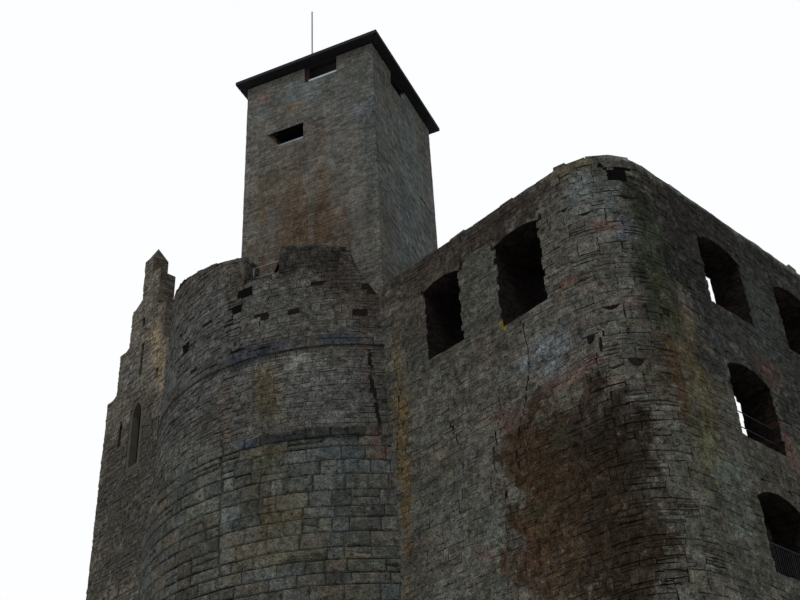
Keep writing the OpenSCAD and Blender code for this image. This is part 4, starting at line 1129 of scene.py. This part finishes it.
# Inner faces of the house: the same rubble, laid more roughly in larger stones, and the
# core between the two faces. The floor at the low windows is of stone slabs.
inner_corners = [Vector((-5.35, -5.79, 0)), Vector((9.2, -5.79, 0)), Vector((9.2, -13.06, 0)),
                 Vector((-5.35, -13.06, 0)), Vector((-5.35, -5.79, 0))]
inner_marks = [0.0, 14.55, 21.82, 36.37, 43.64]
floor_level = 2.90
inner_windows = []
for hole in house_windows:
    place = house_face(hole.middle, 0.0, 0.0)
    if abs(place.y - y1) < 0.01:
        middle = place.x - inner_corners[0].x
    elif abs(place.x - x1) < 0.01:
        middle = inner_marks[1] + inner_corners[1].y - place.y
    elif abs(place.y - y0) < 0.01:
        middle = inner_marks[2] + inner_corners[2].x - place.x
    else:
        middle = inner_marks[3] + place.y - inner_corners[3].y
    inner_windows.append(Window(middle, hole.width, hole.sill, hole.spring, hole.rise))


def inner_spans(level):
    """Parts of an inner row, where the windows' near and far sides change places."""
    parts = list(zip(inner_marks, inner_marks[1:]))
    for hole in inner_windows:
        half = hole.half(level)
        if half:
            near, far = hole.fallen(level)
            parts = cut_out(parts, hole.middle - half - far, hole.middle + half + near)
    return parts


inner = Stonework(random.Random(34)).lay((floor_level, house_top), (0.2, 0.32), inner_spans, (0.35, 0.9))
inner.sway(rise=0.04, seed=17.0, slip=0.014).dress(joint=0.02, relief=0.035)
# The inner faces are painted far darker than the outer ones, as painted shade inside the house.
inner_finish = stone_finish("house_inner_rubble", [(40, 34, 30), (32, 28, 26), (46, 41, 37)],
                            [(28, 24, 22), (42, 34, 28)], growth=0.0)
set_in_wall("house_inner_rubble", inner.sheet, walk_round(inner_corners), inner_finish)

# Painted shade: the core, which forms the window reveals, is given very dark tones for the shade in them,
# and is painted black as the shadow in the hollow under the wall head at the front corner.
house_core = core_finish("house_core", [(24, 20, 18), (31, 25, 23), (19, 16, 15), (36, 26, 20)],
                         (14, 12, 11), [((-7.15, -13.45, 14.8), (1.4, 1.4, 0.7), (5, 5, 5), 1.0, 0.9)])
finish_nodes(house_core, "house_")
finish_nodes(floor_finish, "house_ground_floor")

# Railings of the low windows, with painted steel bars between the two rails, close enough
# that a child can't slip through. The middle windows have two level rods of the same steel.
dark_paint = mottled("dark_paint", (0.8, 0.08), (6.0, 3.0), [(24, 25, 27), (40, 42, 46)],
                     (30.0, 0.1, 0.002))
finish_nodes(dark_paint, "house_window_rails")
bar_spaces, bars_to_post = 21, 7
bar_radius, bar_length, bar_middle, bar_inset = 0.008, 0.86, 3.54, 0.2
bars = bmesh.new()
for n in range(3):
    left = house_corner.x + first_bay + bay_pitch * n
    for k in range(1, bar_spaces):
        if k % bars_to_post:
            bar = bmesh.ops.create_cone(bars, cap_ends=True, segments=8, radius1=bar_radius,
                                        radius2=bar_radius, depth=bar_length)["verts"]
            middle = (left + k * (bay_width / bar_spaces), house_corner.y + bar_inset, bar_middle)
            bmesh.ops.translate(bars, verts=bar, vec=middle)
set_in_wall("house_window_bars", bars, lambda x, y, z: Vector((x, y, z)), dark_paint)

# Gable building: paler rubble with much lime mortar left on it, a stepped gable
# at each end, and dressed frames round the pointed windows.
gable_x, gable_near, gable_width = -7.75, 9.01, 5.10
gable_length, gable_eaves, gable_top = 9.0, 18.30, 25.70
link_width = 1.35
pier_half = 0.345
step_width = (gable_width - 2 * pier_half) / 6
step_drop, coping_fall = 2.21, 0.40
gable_heights = (0.15, 0.27)
gable_lengths = (0.24, 0.6)


def gable_height(across, near_top=24.83, outer_top=23.53):
    """Level of the steps at a distance from the middle, negative towards the keep."""
    if abs(across) < pier_half:
        return gable_top
    top = near_top if across < 0 else outer_top
    place = (abs(across) - pier_half) / step_width
    n = min(int(place), 2)
    return top - n * step_drop - (place - n) * coping_fall


def gable_spans(holes, back):
    """Tells the part of a row that lies inside the steps, round the gable's windows."""
    def spans(level):
        if level < gable_eaves:
            parts = [(0.0, gable_width)] if back else [(0.0, gable_width),
                                                       (gable_width, gable_width + link_width)]
        else:
            edges = [-gable_width / 2 + n * step_width for n in range(4)]
            edges += [-edge for edge in reversed(edges)]
            steps = [step for step in zip(edges, edges[1:]) if gable_height(sum(step) / 2) > level]
            low, high = steps[0][0], steps[-1][1]
            low, high = (low, high) if back else (-high, -low)
            parts = [(gable_width / 2 + low, gable_width / 2 + high)]
        for middle, half, sill, spring, top in holes:
            if sill < level < top:
                if level > spring:
                    half *= math.sqrt(max(0.0, 1 - (level - spring) / (top - spring)))
                along = gable_width / 2 + (middle if back else -middle)
                parts = cut_out(parts, along - half, along + half)
        return parts
    return spans


front_holes = [(-0.11, 0.52, 14.63, 17.25, 18.15), (1.15, 0.125, 16.2, 17.23, 17.45),
               (0.0, 0.12, 21.9, 22.4, 22.4), (-0.11, 0.12, 19.3, 21.0, 21.0),
               (-1.54, 0.12, 18.45, 18.95, 18.95)]
gable_front = Stonework(random.Random(41))
gable_front.lay((0.0, gable_top), gable_heights, gable_spans(front_holes, False), gable_lengths,
                tall=0.08)
gable_front.part(share=0.12, tallest=0.5, longest=0.5).sway(rise=0.04, seed=14.0, slip=0.02)
gable_front.dress(joint=0.014, relief=0.045, loose=0.4)
gable_tones = [(72, 67, 61), (82, 78, 72), (76, 73, 70), (86, 80, 70), (70, 66, 62), (92, 88, 80)]
gable_blotches = [(64, 60, 54), (82, 77, 70), (74, 72, 66), (94, 86, 74)]
gable_stains = [
    ((-7.75, 10.3, 20.8), (0.8, 0.6, 1.5), (120, 106, 86), 0.75),
    ((-7.75, 9.8, 18.9), (0.8, 0.45, 1.4), (112, 98, 78), 0.6),
    ((-7.75, 11.6, 24.8), (0.8, 0.5, 1.2), (66, 60, 56), 0.6),
    ((-7.75, 12.4, 19.6), (0.8, 0.6, 0.5), (98, 98, 98), 0.5),
    ((-7.75, 10.6, 15.6), (0.8, 0.5, 1.2), (76, 78, 56), 0.5),
    ((-7.75, 11.5, 13.4), (0.9, 3.6, 5.2), (44, 42, 39), 0.75),
]
gable_finish = stone_finish("gable_rubble", gable_tones, gable_blotches, gable_stains, (72, 66, 58))
far_x, far_y = gable_x + gable_length, gable_near + gable_width
front_face = walk_round([(gable_x, far_y), (gable_x, gable_near), (gable_x, gable_near - link_width)])
set_in_wall("gable_front_rubble", gable_front.sheet, front_face, gable_finish)
for name, seed, top, spans, first, second, shift in (
        ("outer", 42, gable_eaves, [(0.0, gable_length)], (far_x, far_y), (gable_x, far_y), 15.0),
        ("near", 44, gable_eaves, [(1.0, 1.8), (5.5, gable_length)], (gable_x, gable_near),
         (far_x, gable_near), 18.0),
        ("back", 43, gable_top, gable_spans([(-0.11, 0.35, 14.8, 17.25, 17.86)], True),
         (far_x, gable_near), (far_x, far_y), 16.0)):
    side = Stonework(random.Random(seed)).lay((0.0, top), gable_heights, spans, gable_lengths)
    side.sway(rise=0.04, seed=shift, slip=0.014).dress(joint=0.014, relief=0.035)
    set_in_wall("gable_%s_rubble" % name, side.sheet, walk_round([first, second]), gable_finish)

window_shade = [((-7.15, 11.45, 16.4), (0.8, 0.6, 2.2), (26, 23, 20), 1.0),
                ((-7.15, 12.71, 16.8), (0.8, 0.4, 0.9), (30, 27, 24), 0.9)]
gable_core = core_finish("gable_core", [(66, 62, 56), (82, 76, 68), (60, 56, 52)], (50, 46, 41),
                         gable_stains + window_shade)
finish_nodes(gable_core, "gable_")
lancet_stone = mottled("lancet_stone", (0.85,), (3.0, 8.0, (1, 1, 1), 0.65), [(44, 41, 36), (78, 74, 65)],
                       (14.0, 0.5))
finish_nodes(lancet_stone, "gable_lancet_frame")

# Studio: a plain pale floor that is clear from below, a white surround, an even sky
# light and one broad soft lamp, and the camera where the photographer stood.
scene = bpy.context.scene
plain = bpy.data.materials.new("studio_floor")
plain.use_nodes = True
tree = plain.node_tree
paint = tree.nodes["Principled BSDF"]
paint.inputs["Base Color"].default_value = (0.72, 0.72, 0.70, 1)
paint.inputs["Roughness"].default_value = 0.9
clear = add_node(tree, "BsdfTransparent")
below = add_node(tree, "NewGeometry").outputs["Backfacing"]
choose = add_node(tree, "MixShader", {0: below, 1: paint.outputs[0], 2: clear.outputs[0]})
tree.links.new(choose.outputs[0], tree.nodes["Material Output"].inputs["Surface"])
ground = bmesh.new()
bmesh.ops.create_circle(ground, cap_ends=True, segments=96, radius=160.0)
floor = made_object("studio_floor", ground, plain)

world = bpy.data.worlds.new("studio")
world.use_nodes = True
scene.world = world
tree = world.node_tree
light = tree.nodes["Background"]
light.inputs["Color"].default_value = (0.95, 0.98, 1.0, 1)
light.inputs["Strength"].default_value = 0.73
backdrop = add_node(tree, "Background", {"Color": (0.98, 0.99, 1.0, 1), "Strength": 1.0})
rays = add_node(tree, "LightPath").outputs
seen = add_node(tree, "Math", {0: rays["Is Camera Ray"], 1: rays["Is Glossy Ray"]}, operation="MAXIMUM")
seen = add_node(tree, "Math", {0: seen.outputs[0], 1: rays["Is Transmission Ray"]}, operation="MAXIMUM")
choose = add_node(tree, "MixShader", {0: seen.outputs[0], 1: light.outputs[0], 2: backdrop.outputs[0]})
tree.links.new(choose.outputs[0], tree.nodes["World Output"].inputs["Surface"])

lamp = bpy.data.lights.new("soft_lamp", "SUN")
lamp.energy = 2.2
lamp.angle = math.radians(25)
soft_lamp = bpy.data.objects.new("soft_lamp", lamp)
soft_lamp.rotation_euler = Vector((0.55, 0.33, -1.0)).to_track_quat("-Z", "Y").to_euler()
scene.collection.objects.link(soft_lamp)

view = bpy.data.cameras.new("photo_view")
view.lens = 52.50
view.sensor_width = 36.0
view.clip_end = 500.0
camera = bpy.data.objects.new("photo_view", view)
right = Vector((0.734117, -0.677558, -0.044577))
down = Vector((0.356189, 0.440150, -0.824255))
ahead = Vector((0.578102, 0.589222, 0.564461))
camera.matrix_world = Matrix.Translation((-30.422, -28.333, -7.755)) @ Matrix(
    (right, -down, -ahead)).transposed().to_4x4()
scene.collection.objects.link(camera)
scene.camera = camera
scene.view_settings.view_transform = "Standard"
